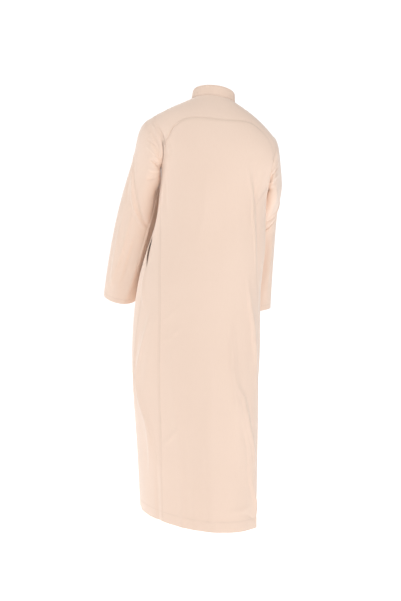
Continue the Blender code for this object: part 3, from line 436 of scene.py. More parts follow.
SLEEVE_CREASES = {
    "left": (
        # the head, beside its seam
        (5.5, 3.6, 0.2, ((35, 30), (60, 22), (85, 16), (108, 16))),
        (5, -2.6, 0.2, ((50, 55), (74, 44), (98, 38), (118, 30))),
        # drag lines from the underarm
        (4, -3.6, 0.2, ((66, 95), (92, 64), (122, 34))),
        (4.5, 3, 0.2, ((74, 118), (104, 84), (135, 44))),
        (4.2, -3.8, 0.2, ((96, 150), (118, 118), (146, 66))),
        (6, 3, 0.2, ((96, 205), (120, 170), (154, 100))),
        (7, -3.4, 0.2, ((98, 280), (124, 230), (158, 140))),
        # beside the body
        (14, 7.8, 0, ((144, 50), (150, 130), (155, 210), (158, 300))),
        (26, 11, 0, ((212, 10), (218, 140), (222, 260), (226, 400))),
        # the light streak down the back and the sharp edge toward the body
        (6, 4.2, 0.3, ((3, 220), (22, 252), (38, 296), (52, 345), (66, 410), (84, 480))),
        (5, -2.8, 0.2, ((34, 245), (52, 310), (68, 372), (84, 428), (104, 490), (127, 540))),
        (10, 3.6, 0.2, ((46, 490), (46, 600), (48, 740), (52, 900))),
        (4.8, 3.6, 0.5, ((178, 230), (165, 324), (157, 392), (146, 444), (139, 488), (132, 540),
            (128, 608), (124, 680), (124, 800))),
        (8.5, -6, 0.2, ((194, 240), (180, 330), (171, 400), (160, 460), (150, 530), (144, 610))),
        # elbow and forearm
        (7, -3.2, 0.3, ((66, 380), (76, 430), (108, 490), (140, 550))),
        (8, 3.4, 0.3, ((60, 350), (67, 410), (93, 490), (118, 540))),
        (11, 4, -0.2, ((78, 470), (70, 530), (64, 730), (40, 940))),
        (11, -3.4, 0.2, ((100, 580), (94, 720), (84, 900))),
        (9, 3, 0.2, ((122, 600), (118, 760), (108, 960))),
        (8, -2.6, 0.2, ((20, 240), (34, 360), (52, 460))),
        # the hidden side
        (9, -4, 0.2, ((236, 500), (262, 560), (300, 575))),
        (8, 3, 0.2, ((240, 560), (266, 625), (296, 640))),
        (10, 3.4, 0.2, ((300, 160), (306, 320), (296, 480))),
        (10, 3, 0.2, ((286, 700), (280, 840), (284, 980))),
    ),
    "right": (
        # the deep fold from the underarm over the upper arm
        (3.2, -7.2, 0.3, ((66, 122), (79, 108), (96, 84), (110, 60), (131, 20), (150, 0))),
        (4.5, 3, 0.3, ((66, 96), (88, 66), (104, 42), (120, 12))),
        (5.5, 3, 0.3, ((70, 158), (90, 128), (114, 88), (140, 50))),
        (4, -2, 0.2, ((100, 150), (124, 112), (150, 90))),
        # beside the body
        (30, 10, 0, ((150, 20), (166, 140), (168, 300), (164, 480), (160, 640), (158, 800))),
        (15, 9.5, 0, ((128, 90), (138, 180), (142, 280), (138, 380), (128, 480))),
        (25, 8, 0, ((160, 500), (156, 680), (156, 850), (158, 1000))),
        # elbow
        (4, -4.6, 0.3, ((0, 430), (27, 466), (62, 480), (94, 470), (124, 474))),
        (7, 3, 0.3, ((4, 400), (30, 436), (62, 450), (94, 440))),
        # forearm
        (10, 3.4, -0.2, ((40, 600), (48, 740), (54, 930))),
        (10, -3, 0.2, ((74, 560), (76, 740), (80, 900))),
        # the hidden side
        (9, -4, 0.2, ((230, 440), (262, 520), (300, 530))),
        (8, 3, 0.2, ((236, 500), (266, 570), (298, 590))),
        (10, 3.4, 0.2, ((300, 140), (308, 280), (300, 420))),
        (10, 3, 0.2, ((276, 660), (284, 800), (278, 960))),
    ),
}
# The yoke seam's own crease: share of the seam, points, half_width, height
YOKE_SINK = (0.26, 60, 0.0022, -0.0026)
# Raised cloth beside the left armhole's top. Columns: start_turn, end_turn, half_width, height
PAD_SIDE = "left"
PAD_POINTS = 61
PAD_RANGE = 0.12
PADS = (
    (-60.0, 84.0, 0.014, 0.0045),       # fills the dip between shoulder and sleeve
    (26.0, 114.0, 0.0045, 0.0042),      # the seam's own puckered lip
)

# ---- sewing -------------------------------------------------------------------------------------
SEAM_WIDTH = 0.0015
SEAM_DEPTH = -0.0007
ARMHOLE_DEPTH = -0.0002
STITCH_WIDTH = 0.0011
STITCH_DEPTH = -0.0003
SEAM_STITCH = 0.0055       # a row of stitches from its seam
HEM_TURN = 0.034           # depth of the turned-up hem
CUFF_TURN = 0.016
CUFF_SAMPLE = 0.1          # the last stretch of a sleeve, which gives its length a reach
EDGE_STITCH = 0.0032       # a row of stitches from a collar's or placket's edge
COLLAR_ROWS = (("stitches_collar_top", COLLAR_HEIGHT - EDGE_STITCH),
               ("stitches_collar_seam", EDGE_STITCH))


def along(points):
    """Return each point's distance along its line."""
    steps = np.linalg.norm(np.diff(points, axis=0), axis=1)
    return np.concatenate([[0.0], np.cumsum(steps)])


def fade_along(share, fade):
    """Return a crease's strength at a share along it."""
    if fade == "none":
        return np.ones_like(share)
    if fade == "end":
        return np.cos(0.5 * np.pi * share) ** FADE_POWER
    return (4.0 * share * (1.0 - share)) ** FADE_POWER


def relief(points, normals, creases):
    """Return how far the creases push each point out along its normal."""
    push = np.zeros(len(points))
    for line, half_width, height, lean, fade in creases:
        low = line.min(axis=0) - CREASE_REACH * half_width
        high = line.max(axis=0) + CREASE_REACH * half_width
        near = np.flatnonzero(((points > low) & (points < high)).all(axis=1))
        if not len(near):
            continue
        start = line[:-1]
        span = line[1:] - start
        length = np.maximum((span ** 2).sum(axis=1), TINY)
        from_start = points[near, None, :] - start[None]
        share = np.clip((from_start * span[None]).sum(axis=2) / length[None], 0.0, 1.0)
        away = from_start - share[..., None] * span[None]
        distance = (away ** 2).sum(axis=2)
        best = distance.argmin(axis=1)
        rows = np.arange(len(near))
        side = np.cross(normals[near], span[best])
        side = np.sign((side * away[rows, best]).sum(axis=1))
        run = along(line)
        place = (run[best] + share[rows, best] * np.sqrt(length[best])) / run[-1]
        flank = bell(np.sqrt(distance[rows, best]), half_width * (1.0 + lean * side))
        push[near] += height * fade_along(place, fade) * flank
    return push


def pad_shoulders(points):
    """Raise the cloth beside an armhole's top, one way for both pieces that meet there."""
    raised = points.copy()
    share = np.linspace(0.0, 1.0, PAD_POINTS)
    for start, end, half_width, height in PADS:
        turns = start + (end - start) * share
        ring = sleeve_point(PAD_SIDE, turns, 0.0)
        way = unit(sleeve_normal(PAD_SIDE, turns, 0.0)
                   + body_normal(*armhole_place(PAD_SIDE, turns).T))
        swell = height * np.sin(np.pi * share)
        middle = ring[PAD_POINTS // 2]
        near = np.flatnonzero(np.linalg.norm(points - middle, axis=1) < PAD_RANGE)
        away = np.linalg.norm(points[near, None] - ring[None], axis=2)
        best = away.argmin(axis=1)
        push = swell[best] * bell(away[np.arange(len(near)), best], half_width)
        raised[near] += push[:, None] * way[best]
    return raised


# ---- runs and patches, each a function of real row or column numbers ----------------------------
SEAM_ROWS = 24
SEAM_CROWD = 1.25          # crowds a long seam's rows towards its armhole
BACK_ROWS = SEAM_ROWS + 4
FRONT_ROWS = SEAM_ROWS + 8
GORE_COLUMNS = 8
BACK_COLUMNS = 28
SHOULDER_COLUMNS = 14      # of the yoke, along either armhole
YOKE_COLUMNS = BACK_COLUMNS + 2 * SHOULDER_COLUMNS
YOKE_ROWS = 5
NECK_COLUMNS = 14          # of the front, along the neck
FRONT_COLUMNS = NECK_COLUMNS + 2 * YOKE_ROWS
EVEN_FROM = 14             # the first row that is evened out, on panels that round an armhole
EVEN_ROUNDS = 600
YOKE_ROUNDS = 100          # more rounds, for the yoke at its full fineness
ROUND_ONCE = np.array([360.0, 0.0])


def lerp(start, end, share):
    """Return places from start to end."""
    share = np.clip(np.asarray(share, dtype=float), 0.0, 1.0)[..., None]
    return (1.0 - share) * np.asarray(start) + share * np.asarray(end)


def underarm(name):
    """Return the turn at which a long seam meets its armhole."""
    return 180.0 - GORE_TURN if name.startswith("back") else 180.0 + GORE_TURN


def seam(name, row):
    """Return a long seam's places from the hem (row 0) to its armhole."""
    corner = armhole_place(name.split("_")[1], underarm(name))
    share = np.clip(np.asarray(row, dtype=float) / SEAM_ROWS, 0.0, 1.0)
    drop = HEM_DROP + (corner[1] - HEM_DROP) * (1.0 - (1.0 - share) ** SEAM_CROWD)
    angle = seam_at[name](drop)[..., 0]
    settle = np.clip(1.0 - (drop - corner[1]) / SEAM_SETTLE, 0.0, 1.0) ** 2
    angle = angle + settle * (corner[0] - seam_at[name](corner[1])[..., 0])
    return np.stack([angle, drop], axis=-1)


def armhole(side, start_turn, end_turn, share):
    """Return part of an armhole."""
    share = np.clip(np.asarray(share, dtype=float), 0.0, 1.0)
    return armhole_place(side, start_turn + (end_turn - start_turn) * share)


def yoke_seam(share):
    """Return the round seam over the back, from the left armhole to the right one."""
    rows = [list(row) for row in YOKE_SEAM]
    rows[0][1:] = armhole_place("left", YOKE_END_LEFT)
    rows[-1][1:] = armhole_place("right", YOKE_END_RIGHT)
    return table_curve(rows)(np.clip(np.asarray(share, dtype=float), 0.0, 1.0))


def shoulder(side, row):
    """Return the front shoulder seam, from the armhole (row 0) to the neck."""
    outside = armhole_place(side, SHOULDER_SEAM_TURN)
    inside = -SHOULDER_SEAM_ANGLE if side == "left" else 180.0 + SHOULDER_SEAM_ANGLE
    return lerp(outside, (inside, NECK_DROP), np.asarray(row, dtype=float) / YOKE_ROWS)


def piecewise(value, *parts):
    """Return each part's places where the value lies in its span; parts are (end, function)."""
    value = np.asarray(value, dtype=float)
    places = np.zeros(value.shape + (2,))
    low = -1.0
    for end, function in parts:
        inside = (value > low) & (value <= end + SLACK)
        places[inside] = function(value[inside])
        low = end + SLACK
    return places


def side_run(side, name, rows, end_turn, shift=0.0):
    """Return a panel's side as a run: a long seam, then its armhole as far as a turn."""
    def climb(row):
        return armhole(side, underarm(name), end_turn, (row - SEAM_ROWS) / (rows - SEAM_ROWS))
    return lambda row: shift + piecewise(row, (SEAM_ROWS, lambda v: seam(name, v)), (rows, climb))


def patch(sides, ends, rows, columns, row, column):
    """Fill four runs with places; a bottom of None is straight."""
    left, right = sides
    bottom, top = ends
    up = (row / rows)[:, None, None]
    across = (column / columns)[None, :, None]
    first = np.array([0.0])
    if bottom is None:
        bottom = lambda c: lerp(left(first)[0], right(first)[0], c / columns)
    between_rows = (1.0 - up) * bottom(column)[None] + up * top(column)[None]
    between_columns = (1.0 - across) * left(row)[:, None] + across * right(row)[:, None]
    low = (1.0 - across) * left(first) + across * right(first)
    high = (1.0 - across) * left(first + rows) + across * right(first + rows)
    return between_rows + between_columns - (1.0 - up) * low - up * high


def even_out(places, first_row=0, held=None, rounds=EVEN_ROUNDS):
    """Move a grid's inner places until none folds over another; its edges and held column stay."""
    scale = np.array([np.radians(BODY_RADIUS), 1.0])
    grid = places[first_row:] * scale
    kept = None if held is None else grid[:, held].copy()
    for _ in range(rounds):
        up = grid[2:, 1:-1] - grid[:-2, 1:-1]
        across = grid[1:-1, 2:] - grid[1:-1, :-2]
        rise = (up ** 2).sum(axis=-1, keepdims=True)
        run = (across ** 2).sum(axis=-1, keepdims=True)
        skew = (up * across).sum(axis=-1, keepdims=True)
        twist = grid[2:, 2:] - grid[2:, :-2] - grid[:-2, 2:] + grid[:-2, :-2]
        level = grid[1:-1, 2:] + grid[1:-1, :-2]
        upright = grid[2:, 1:-1] + grid[:-2, 1:-1]
        moved = rise * level + run * upright - 0.5 * skew * twist
        grid[1:-1, 1:-1] = moved / (2.0 * (rise + run))
        if held is not None:
            grid[:, held] = kept
    evened = places.copy()
    evened[first_row:] = grid / scale
    return evened


def even_patch(fill, rows, columns, row, column, first_row=0, held=None):
    """Return a patch's places, moved as its grid of whole rows and columns is when evened out."""
    grid = fill(np.arange(rows + 1.0), np.arange(columns + 1.0))
    shift = even_out(grid, first_row, held) - grid
    low = np.clip(row.astype(int), 0, rows - 1)
    left = np.clip(column.astype(int), 0, columns - 1)
    up = (row - low)[:, None, None]
    across = (column - left)[None, :, None]
    by_row = (1.0 - up) * shift[low] + up * shift[low + 1]
    return fill(row, column) + (1.0 - across) * by_row[:, left] + across * by_row[:, left + 1]


def back_patch(row, column):
    """The back's places."""
    sides = (side_run("left", "back_left", BACK_ROWS, YOKE_END_LEFT),
             side_run("right", "back_right", BACK_ROWS, YOKE_END_RIGHT))
    ends = (None, lambda c: yoke_seam(c / BACK_COLUMNS))
    return even_patch(lambda r, c: patch(sides, ends, BACK_ROWS, BACK_COLUMNS, r, c),
                      BACK_ROWS, BACK_COLUMNS, row, column, EVEN_FROM)


def gore_patch(side, row, column):
    """A gore's places."""
    names = ("front_left", "back_left") if side == "left" else ("back_right", "front_right")
    sides = [lambda r, name=name: seam(name, r) for name in names]
    low, high = (underarm(name) for name in names)
    ends = (None, lambda c: armhole(side, low, high, c / GORE_COLUMNS))
    return patch(sides, ends, SEAM_ROWS, GORE_COLUMNS, row, column)


def front_patch(row, column):
    """The front's places, from the right side round to the left."""
    end_turn = 360.0 + SHOULDER_SEAM_TURN
    sides = (side_run("right", "front_right", FRONT_ROWS, end_turn),
             side_run("left", "front_left", FRONT_ROWS, end_turn, ROUND_ONCE))
    neck = (shoulder("right", YOKE_ROWS), shoulder("left", YOKE_ROWS) + ROUND_ONCE)
    top = lambda c: piecewise(
        c, (YOKE_ROWS, lambda v: shoulder("right", v)),
        (YOKE_ROWS + NECK_COLUMNS, lambda v: lerp(*neck, (v - YOKE_ROWS) / NECK_COLUMNS)),
        (FRONT_COLUMNS, lambda v: shoulder("left", FRONT_COLUMNS - v) + ROUND_ONCE))
    middle = FRONT_COLUMNS // 2

    def fill(r, c):
        """Fill the runs, then draw the middle column on to the front's centre line."""
        size = (sides, (None, top), FRONT_ROWS, FRONT_COLUMNS)
        drift = FRONT_CENTRE - patch(*size, r, np.array([float(middle)]))[:, 0, 0]
        places = patch(*size, r, c)
        places[:, :, 0] += drift[:, None] * (1.0 - np.abs(c - middle) / middle)[None]
        return places
    return even_patch(fill, FRONT_ROWS, FRONT_COLUMNS, row, column, EVEN_FROM, middle)


def yoke_patch(row, column):
    """The yoke's places, from the left shoulder seam round the back to the right one."""
    first = SHOULDER_COLUMNS
    second = first + BACK_COLUMNS
    sides = [lambda r, side=side: shoulder(side, r) for side in SIDES]
    bottom = lambda c: piecewise(
        c, (first, lambda v: armhole("left", SHOULDER_SEAM_TURN, YOKE_END_LEFT, v / first)),
        (second, lambda v: yoke_seam((v - first) / BACK_COLUMNS)),
        (YOKE_COLUMNS,
         lambda v: armhole("right", YOKE_END_RIGHT, SHOULDER_SEAM_TURN, (v - second) / first)))
    neck = [shoulder(side, YOKE_ROWS) for side in SIDES]
    ends = (bottom, lambda c: lerp(*neck, c / YOKE_COLUMNS))
    places = even_patch(lambda r, c: patch(sides, ends, YOKE_ROWS, YOKE_COLUMNS, r, c),
                        YOKE_ROWS, YOKE_COLUMNS, row, column)
    return even_out(places, rounds=YOKE_ROUNDS)


# ---- dressed surfaces ---------------------------------------------------------------------------
def offset_places(surface, places, metres):
    """Return the places moved sideways over the surface, to the right of their direction."""
    points, normals = surface(*places.T)
    goal = metres * np.cross(unit(np.gradient(points, axis=0)), normals)
    step = surface.step
    first = (surface(places[:, 0] + step[0], places[:, 1])[0] - points) / step[0]
    second = (surface(places[:, 0], places[:, 1] + step[1])[0] - points) / step[1]
    dot = lambda one, other: (one * other).sum(axis=1)
    aa, ab, bb = dot(first, first), dot(first, second), dot(second, second)
    ga, gb = dot(first, goal), dot(second, goal)
    area = np.maximum(aa * bb - ab * ab, TINY)
    return places + np.stack([ga * bb - gb * ab, gb * aa - ga * ab], axis=1) / area[:, None]


class Surface:
    """A cloth's form with its creases; called with two arrays, it returns points and normals."""

    step = (0.2, 0.002)        # a small move in either direction

    def __init__(self, point, normal):
        self.point = point
        self.normal = normal
        self.creases = []

    def __call__(self, first, second):
        first, second = floats(first, second)
        return self.point(first, second), self.normal(first, second)

    def dressed(self, first, second):
        """Return the creased points and the plain form's normals."""
        points, normals = self(first, second)
        flat = points.reshape(-1, 3)
        flat_normals = normals.reshape(-1, 3)
        push = relief(flat, flat_normals, self.creases)
        return pad_shoulders(flat + push[:, None] * flat_normals).reshape(points.shape), normals

    def crease(self, places, half_width, height, lean=0.0, fade="none"):
        """Lay a crease along a line of places."""
        self.creases.append((self.point(*places.T), half_width, height, lean, fade))

    def lay_table(self, rows, fade):
        """Lay a table's creases, each along a smooth line through its places."""
        for half_width, height, lean, places in rows:
            knots = np.linspace(0.0, 1.0, len(places))
            line = smooth_curve(knots, np.multiply(places, (1.0, 0.001)))
            self.crease(line(np.linspace(0.0, 1.0, CREASE_POINTS)), 0.001 * half_width,
                        0.001 * height * CREASE_GAIN, lean, fade)


def sleeve_surface(side):
    """Return one sleeve's surface."""
    return Surface(lambda turn, reach: sleeve_point(side, turn, reach),
                   lambda turn, reach: sleeve_normal(side, turn, reach))


body = Surface(body_point, body_normal)
sleeves = {side: sleeve_surface(side) for side in SIDES}
SMOOTH_ROWS = np.linspace(0.0, 1.0, 121)
RING_TURNS = np.linspace(0.0, 360.0, 241)
seams = {name: seam(name, SMOOTH_ROWS * SEAM_ROWS) for name in SEAMS}
seams["yoke"] = yoke_seam(SMOOTH_ROWS)
for side in SIDES:
    seams["shoulder_" + side] = shoulder(side, SMOOTH_ROWS * YOKE_ROWS)
    seams["armhole_" + side] = armhole(side, 0.0, 360.0, SMOOTH_ROWS)
# Which way a row of stitches lies from its seam: 1 is to the right of the seam's direction.
STITCHED = (
    ("back_left", -1.0), ("back_right", 1.0), ("front_left", 1.0), ("front_right", -1.0),
    ("yoke", 1.0), ("shoulder_left", -1.0), ("shoulder_right", 1.0),
)
rows_of_stitches = {}


def ring_places(second):
    """Return places once round a tube at one drop or reach."""
    return np.stack([RING_TURNS, np.full(len(RING_TURNS), second)], axis=1)


def lay_row(name, surface, places):
    """Lay a row of stitches and its groove."""
    rows_of_stitches["stitches_" + name] = (surface, places)
    surface.crease(places, STITCH_WIDTH, STITCH_DEPTH)


def lay_sewing():
    """Lay the seams' grooves and the rows of stitches on the surfaces."""
    for name, places in seams.items():
        depth = ARMHOLE_DEPTH if name.startswith("armhole") else SEAM_DEPTH
        body.crease(places, SEAM_WIDTH, depth)
    for name, way in STITCHED:
        places = offset_places(body, seams[name], way * SEAM_STITCH)
        body.crease(places, STITCH_WIDTH, STITCH_DEPTH)
        rows_of_stitches["stitches_" + name] = (body, places[1:-1])
    lay_row("hem", body, ring_places(HEM_DROP - HEM_TURN))
    for side in SIDES:
        end = sleeve_point(side, 90.0, 1.0) - sleeve_point(side, 90.0, 1.0 - CUFF_SAMPLE)
        reach = 1.0 - CUFF_TURN / (np.linalg.norm(end) / CUFF_SAMPLE)
        lay_row("cuff_" + side, sleeves[side], ring_places(reach))
        sleeves[side].crease(ring_places(0.0), SEAM_WIDTH, ARMHOLE_DEPTH)


def lay_creases():
    """Lay the creases on the surfaces."""
    share, count, half_width, height = YOKE_SINK
    body.crease(yoke_seam(np.linspace(0.0, share, count)), half_width, height, fade="both")
    body.lay_table(BODY_CREASES, "both")
    body.lay_table(HEM_CREASES, "end")
    for side in SIDES:
        sleeves[side].lay_table(SLEEVE_CREASES[side], "both")


# ---- meshes -------------------------------------------------------------------------------------
# How finely a panel is divided. Columns: rows, columns, how much the columns crowd to its sides
FINENESS = {"back": (270, 112, 0.75), "front": (250, 120, 0.70), "gore": (240, 44, 0.60)}
YOKE_FINENESS = ((44, 0.7), (200, 0.5))
SLEEVE_TURNS = 192
SLEEVE_REACHES = 205
HEM_CLOSE = 0.0012         # rows this close at a hem's edge and stitches
CUFF_CLOSE = 0.0022
HEAD_CLOSE = 0.002         # and at a sleeve's head
UNDERARM_DROP = 0.25       # about where the long seams start
GAPE_COLUMNS = 12
RIM_ROUND = 0.45           # a rim's middle stands out by this share of the thickness
CLOSE_STEPS = np.array([-2.0, -1.2, -0.6, 0.0, 0.6, 1.2, 2.0])
SEAM_SHADE = 0.0022        # width of the painted shade along a seam
STITCH_SHADE = (0.0016, 0.55)      # the painted shade's width and strength along stitches
ROW_SHADE = (0.0012, 0.5)          # and along the collar's and the placket's stitches
HEM_THICKENS = 0.002       # the drop over which a hem grows to its full thickness
CUFF_THICKENS = 0.003      # the reach over which a cuff does
NONE_DOUBLED = np.zeros(0, dtype=int)


def divided(end, count, crowd=0.0, cuts=()):
    """Return numbers from 0 to end, crowded towards both ends, with extra ones about each cut."""
    share = np.linspace(0.0, 1.0, count + 1)
    share = share - crowd / (2.0 * np.pi) * np.sin(2.0 * np.pi * share)
    values = [share * end] + [middle + spread * CLOSE_STEPS for middle, spread in cuts]
    values = np.unique(np.round(np.concatenate(values), 6))
    return values[(values >= 0.0) & (values <= end)]


def grid_quads(rows, columns, closed=False):
    """Return a grid's quads as an array; rows run up and columns round to the left."""
    row = np.arange(rows - 1)[:, None]
    column = np.arange(columns if closed else columns - 1)[None]
    after = (column + 1) % columns
    low = row * columns
    high = low + columns
    return np.stack([low + column, low + after, high + after, high + column],
                    axis=-1).reshape(-1, 4)


def rim_edges(quads):
    """Return the directed edges used by one face only."""
    edges = np.concatenate([quads[:, [i, (i + 1) % 4]] for i in range(4)])
    size = int(quads.max()) + 1
    code = edges[:, 0] * size + edges[:, 1]
    back = edges[:, 1] * size + edges[:, 0]
    return edges[~np.isin(code, back)]


def woven_uv(points):
    """Return places across and down a grid of cloth, in metres, from its middle column."""
    middle = points.shape[1] // 2
    across = np.linalg.norm(np.diff(points, axis=1), axis=2)
    across = np.concatenate([np.zeros((len(points), 1)), np.cumsum(across, axis=1)], axis=1)
    across = across - across[:, middle, None]
    down = along(points[:, middle])
    return np.stack([across, np.broadcast_to(down[:, None], across.shape)], axis=-1)


def add_mesh(name, vertices, faces, look, weave=None, painted_shade=None):
    """Make a smooth object from arrays of vertices and quads."""
    mesh = bpy.data.meshes.new(name)
    mesh.vertices.add(len(vertices))
    mesh.vertices.foreach_set("co", np.ascontiguousarray(vertices, dtype=np.float32).ravel())
    faces = np.asarray(faces, dtype=np.int32)
    starts = np.arange(len(faces), dtype=np.int32) * faces.shape[1]
    mesh.loops.add(faces.size)
    mesh.loops.foreach_set("vertex_index", faces.ravel())
    mesh.polygons.add(len(faces))
    mesh.polygons.foreach_set("loop_start", starts)
    mesh.polygons.foreach_set("loop_total", np.full_like(starts, faces.shape[1]))
    mesh.update(calc_edges=True)
    mesh.validate()
    mesh.shade_smooth()
    if weave is not None:
        layer = mesh.uv_layers.new(name="weave")
        index = np.zeros(len(mesh.loops), dtype=np.int32)
        mesh.loops.foreach_get("vertex_index", index)
        layer.data.foreach_set("uv", np.asarray(weave[index], dtype=np.float32).ravel())
        # This float attribute holds the painted shade along seams and stitches.
        layer = mesh.attributes.new("painted_shade", "FLOAT", "POINT")
        layer.data.foreach_set("value", np.ascontiguousarray(painted_shade, dtype=np.float32))
    mesh.materials.append(look)
    made = bpy.data.objects.new(name, mesh)
    bpy.context.scene.collection.objects.link(made)
    return made


def cloth_piece(name, points, normals, look, thickness, shade=0.0, quads=None,
                doubled=NONE_DOUBLED):
    """Make a thin closed shell with rounded rims from a grid; doubled points are added again."""
    shape = points.shape[:2]
    if quads is None:
        quads = grid_quads(*shape)
    values = (points, normals, woven_uv(points), np.broadcast_to(thickness, shape)[..., None],
              np.broadcast_to(shade, shape)[..., None])
    flat = [value.reshape(-1, value.shape[-1]) for value in values]
    points, normals, uv, thickness, shade = (
        np.concatenate([value, value[doubled]]) for value in flat)
    start, end = rim_edges(quads).T
    pull = np.zeros_like(points)
    inward = unit(np.cross(normals[start] + normals[end], points[end] - points[start]))
    np.add.at(pull, start, inward)
    np.add.at(pull, end, inward)
    rim = np.unique(np.concatenate([start, end]))
    inner = points - thickness * normals
    middle = points[rim] - thickness[rim] * (0.5 * normals[rim] + RIM_ROUND * unit(pull[rim]))
    count = len(points)
    at_rim = np.zeros(count, dtype=int)
    at_rim[rim] = 2 * count + np.arange(len(rim))
    faces = np.concatenate([
        quads, quads[:, ::-1] + count,
        np.stack([end, start, at_rim[start], at_rim[end]], axis=1),
        np.stack([at_rim[end], at_rim[start], start + count, end + count], axis=1)])
    # Painted shade along seams and stitches on the outer face and the rims; none on the inner
    # face.
    painted_shade = np.concatenate([shade, 0.0 * shade, shade[rim]])[:, 0]
    return add_mesh(name, np.concatenate([points, inner, middle]), faces, look,
                    np.concatenate([uv, uv, uv[rim]]), painted_shade)


def painted_seam_shade(points, seam_lines, stitch_lines):
    """Return the painted shade along seams and stitches at a grid's points, from 0 to 1."""
    flat = points.reshape(-1, 3)
    shade = np.zeros(len(flat))
    for lines, width, strength in ((seam_lines, SEAM_SHADE, 1.0), (stitch_lines, *STITCH_SHADE)):
        for line in lines:
            near = relief(flat, np.zeros_like(flat), [(line, width, 1.0, 0.0, "none")])
            shade = np.maximum(shade, strength * near)
    return shade.reshape(points.shape[:2])


def hem_wall(past_stitches, distance):
    """Return the cloth's thickness, which grows past a hem's stitches over a distance."""
    return SHELL + TURNING * np.clip(past_stitches / distance, 0.0, 1.0)


def body_panel(name, places, look, lift=0.0, quads=None, doubled=NONE_DOUBLED):
    """Make one body panel from its grid of places."""
    points, normals = body.dressed(places[..., 0], places[..., 1])
    points = points + np.asarray(lift)[..., None] * normals
    wall = hem_wall(places[..., 1] - HEM_DROP + HEM_TURN, HEM_THICKENS)
    lines = [body.point(*line.T) for line in seams.values()]
    rows = [body.point(*row.T) for surface, row in rows_of_stitches.values() if surface is body]
    return cloth_piece(name, points, normals, look, wall, painted_seam_shade(points, lines, rows), quads,
                       doubled)


def panel_grid(kind, rows, columns):
    """Return a panel's row and column numbers, with close rows at the hem and its stitches."""
    row_count, column_count, crowd = FINENESS[kind]

    def row_at(height):
        share = height / (HEM_DROP - UNDERARM_DROP)
        return SEAM_ROWS * (1.0 - (1.0 - share) ** (1.0 / SEAM_CROWD))
    close = row_at(HEM_CLOSE)
    return (divided(rows, row_count, cuts=((0.0, close), (row_at(HEM_TURN), close))),
            divided(columns, column_count, crowd))


def slit_swell(drop):
    """Return how far a pocket's slit is open at a drop, from 0 to 1."""
    share = (drop - POCKET_OPEN[0]) / (POCKET_OPEN[1] - POCKET_OPEN[0])
    return np.sin(np.pi * np.clip(share, 0.0, 1.0))


def gape(places):
    """Open the front's two edges a little beside the pocket slits."""
    fade = np.linspace(1.0, 0.0, GAPE_COLUMNS)
    for way, edge in ((1.0, places), (-1.0, places[:, ::-1])):
        opening = way * np.degrees(POCKET_GAPE * slit_swell(edge[:, 0, 1]) / BODY_RADIUS)
        edge[:, :GAPE_COLUMNS, 0] += opening[:, None] * fade
    return places


def pocket_lift(places):
    """Return how far the front's places stand out beside the pocket slits."""
    lift = np.zeros(places.shape[:2])
    for side, edge in (("right", places[:, :1]), ("left", places[:, -1:])):
        away = np.abs(places[..., 0] - edge[..., 0]) * np.radians(BODY_RADIUS)
        near = np.clip(1.0 - away / POCKET_BULGE, 0.0, 1.0) ** POCKET_ROUND
        lift = np.maximum(lift, POCKET_LIFTS[side] * slit_swell(edge[..., 1]) * near)
    return lift


def make_front(look):
    """The front, cut open from the neck down its centre line."""
    row, column = panel_grid("front", FRONT_ROWS, FRONT_COLUMNS)
    places = gape(front_patch(row, column))
    wide = len(column)
    centre = int(np.flatnonzero(np.isclose(column, FRONT_COLUMNS / 2.0))[0])
    quads = grid_quads(len(row), wide)
    doubled = np.flatnonzero(places[:, centre, 1] < SLIT_END) * wide + centre
    number = np.arange(len(row) * wide)
    number[doubled] = len(number) + np.arange(len(doubled))
    beyond = quads[:, 0] % wide >= centre
    quads[beyond] = number[quads[beyond]]
    return body_panel("robe_front", places, look, pocket_lift(places), quads, doubled)


def make_sleeve(side, look):
    """A sleeve."""
    surface, cuff = rows_of_stitches["stitches_cuff_" + side]
    stitches = cuff[0, 1]
    turns = np.linspace(0.0, 360.0, SLEEVE_TURNS + 1)[:-1]
    cuts = ((0.0, HEAD_CLOSE), (stitches, CUFF_CLOSE), (1.0, CUFF_CLOSE))
    turn, reach = np.meshgrid(turns, divided(1.0, SLEEVE_REACHES, cuts=cuts)[::-1])
    points, normals = surface.dressed(turn, reach)
    quads = grid_quads(*turn.shape, closed=True)
    if side == "right":
        quads = quads[:, ::-1]
    # Painted shade along the sleeve's head seam and its cuff stitches.
    head = surface.point(*ring_places(0.0).T)
    shade = painted_seam_shade(points, [head], [surface.point(*cuff.T)])
    return cloth_piece("robe_sleeve_" + side, points, normals, look,
                       hem_wall(reach - stitches, CUFF_THICKENS), shade, quads)


# Grooves along the collar. Columns: height, depth, width
COLLAR_GROOVES = (
    (COLLAR_HEIGHT, 0.0007, 0.0010),        # the rounded top edge
    (0.0, 0.0007, 0.0012),                  # the seam
    (EDGE_STITCH, 0.0005, 0.0011),
    (COLLAR_HEIGHT - EDGE_STITCH, 0.0005, 0.0011),
)


def collar_place(angle, share):
    """Return a place and normal on the dressed collar; share is 0 at its seam and 1 at its top."""
    rise = np.clip((-90.0 + 2.0 * COLLAR_LAP - angle) / COLLAR_LAP, 0.0, 1.0)
    out = (BAND + BAND_GAP) * rise * rise * (3.0 - 2.0 * rise)
    out = out + COLLAR_WAVE * circle(COLLAR_WAVES * angle)[1] * share
    height = share * COLLAR_HEIGHT
    for row, depth, width in COLLAR_GROOVES:
        out = out - depth * bell(height - row, width)
    height = COLLAR_CLEAR + height
    out = out - COLLAR_LEAN * height / COLLAR_HEIGHT
    roll = section_at(NECK_DROP)[6]
    outward = np.stack([*circle(angle), 0.0 * angle], axis=-1)
    upward = unit(np.array([-roll, -COLLAR_NOD, 1.0]))
    point = body_point(angle, NECK_DROP) + height[..., None] * upward + out[..., None] * outward
    return point, outward


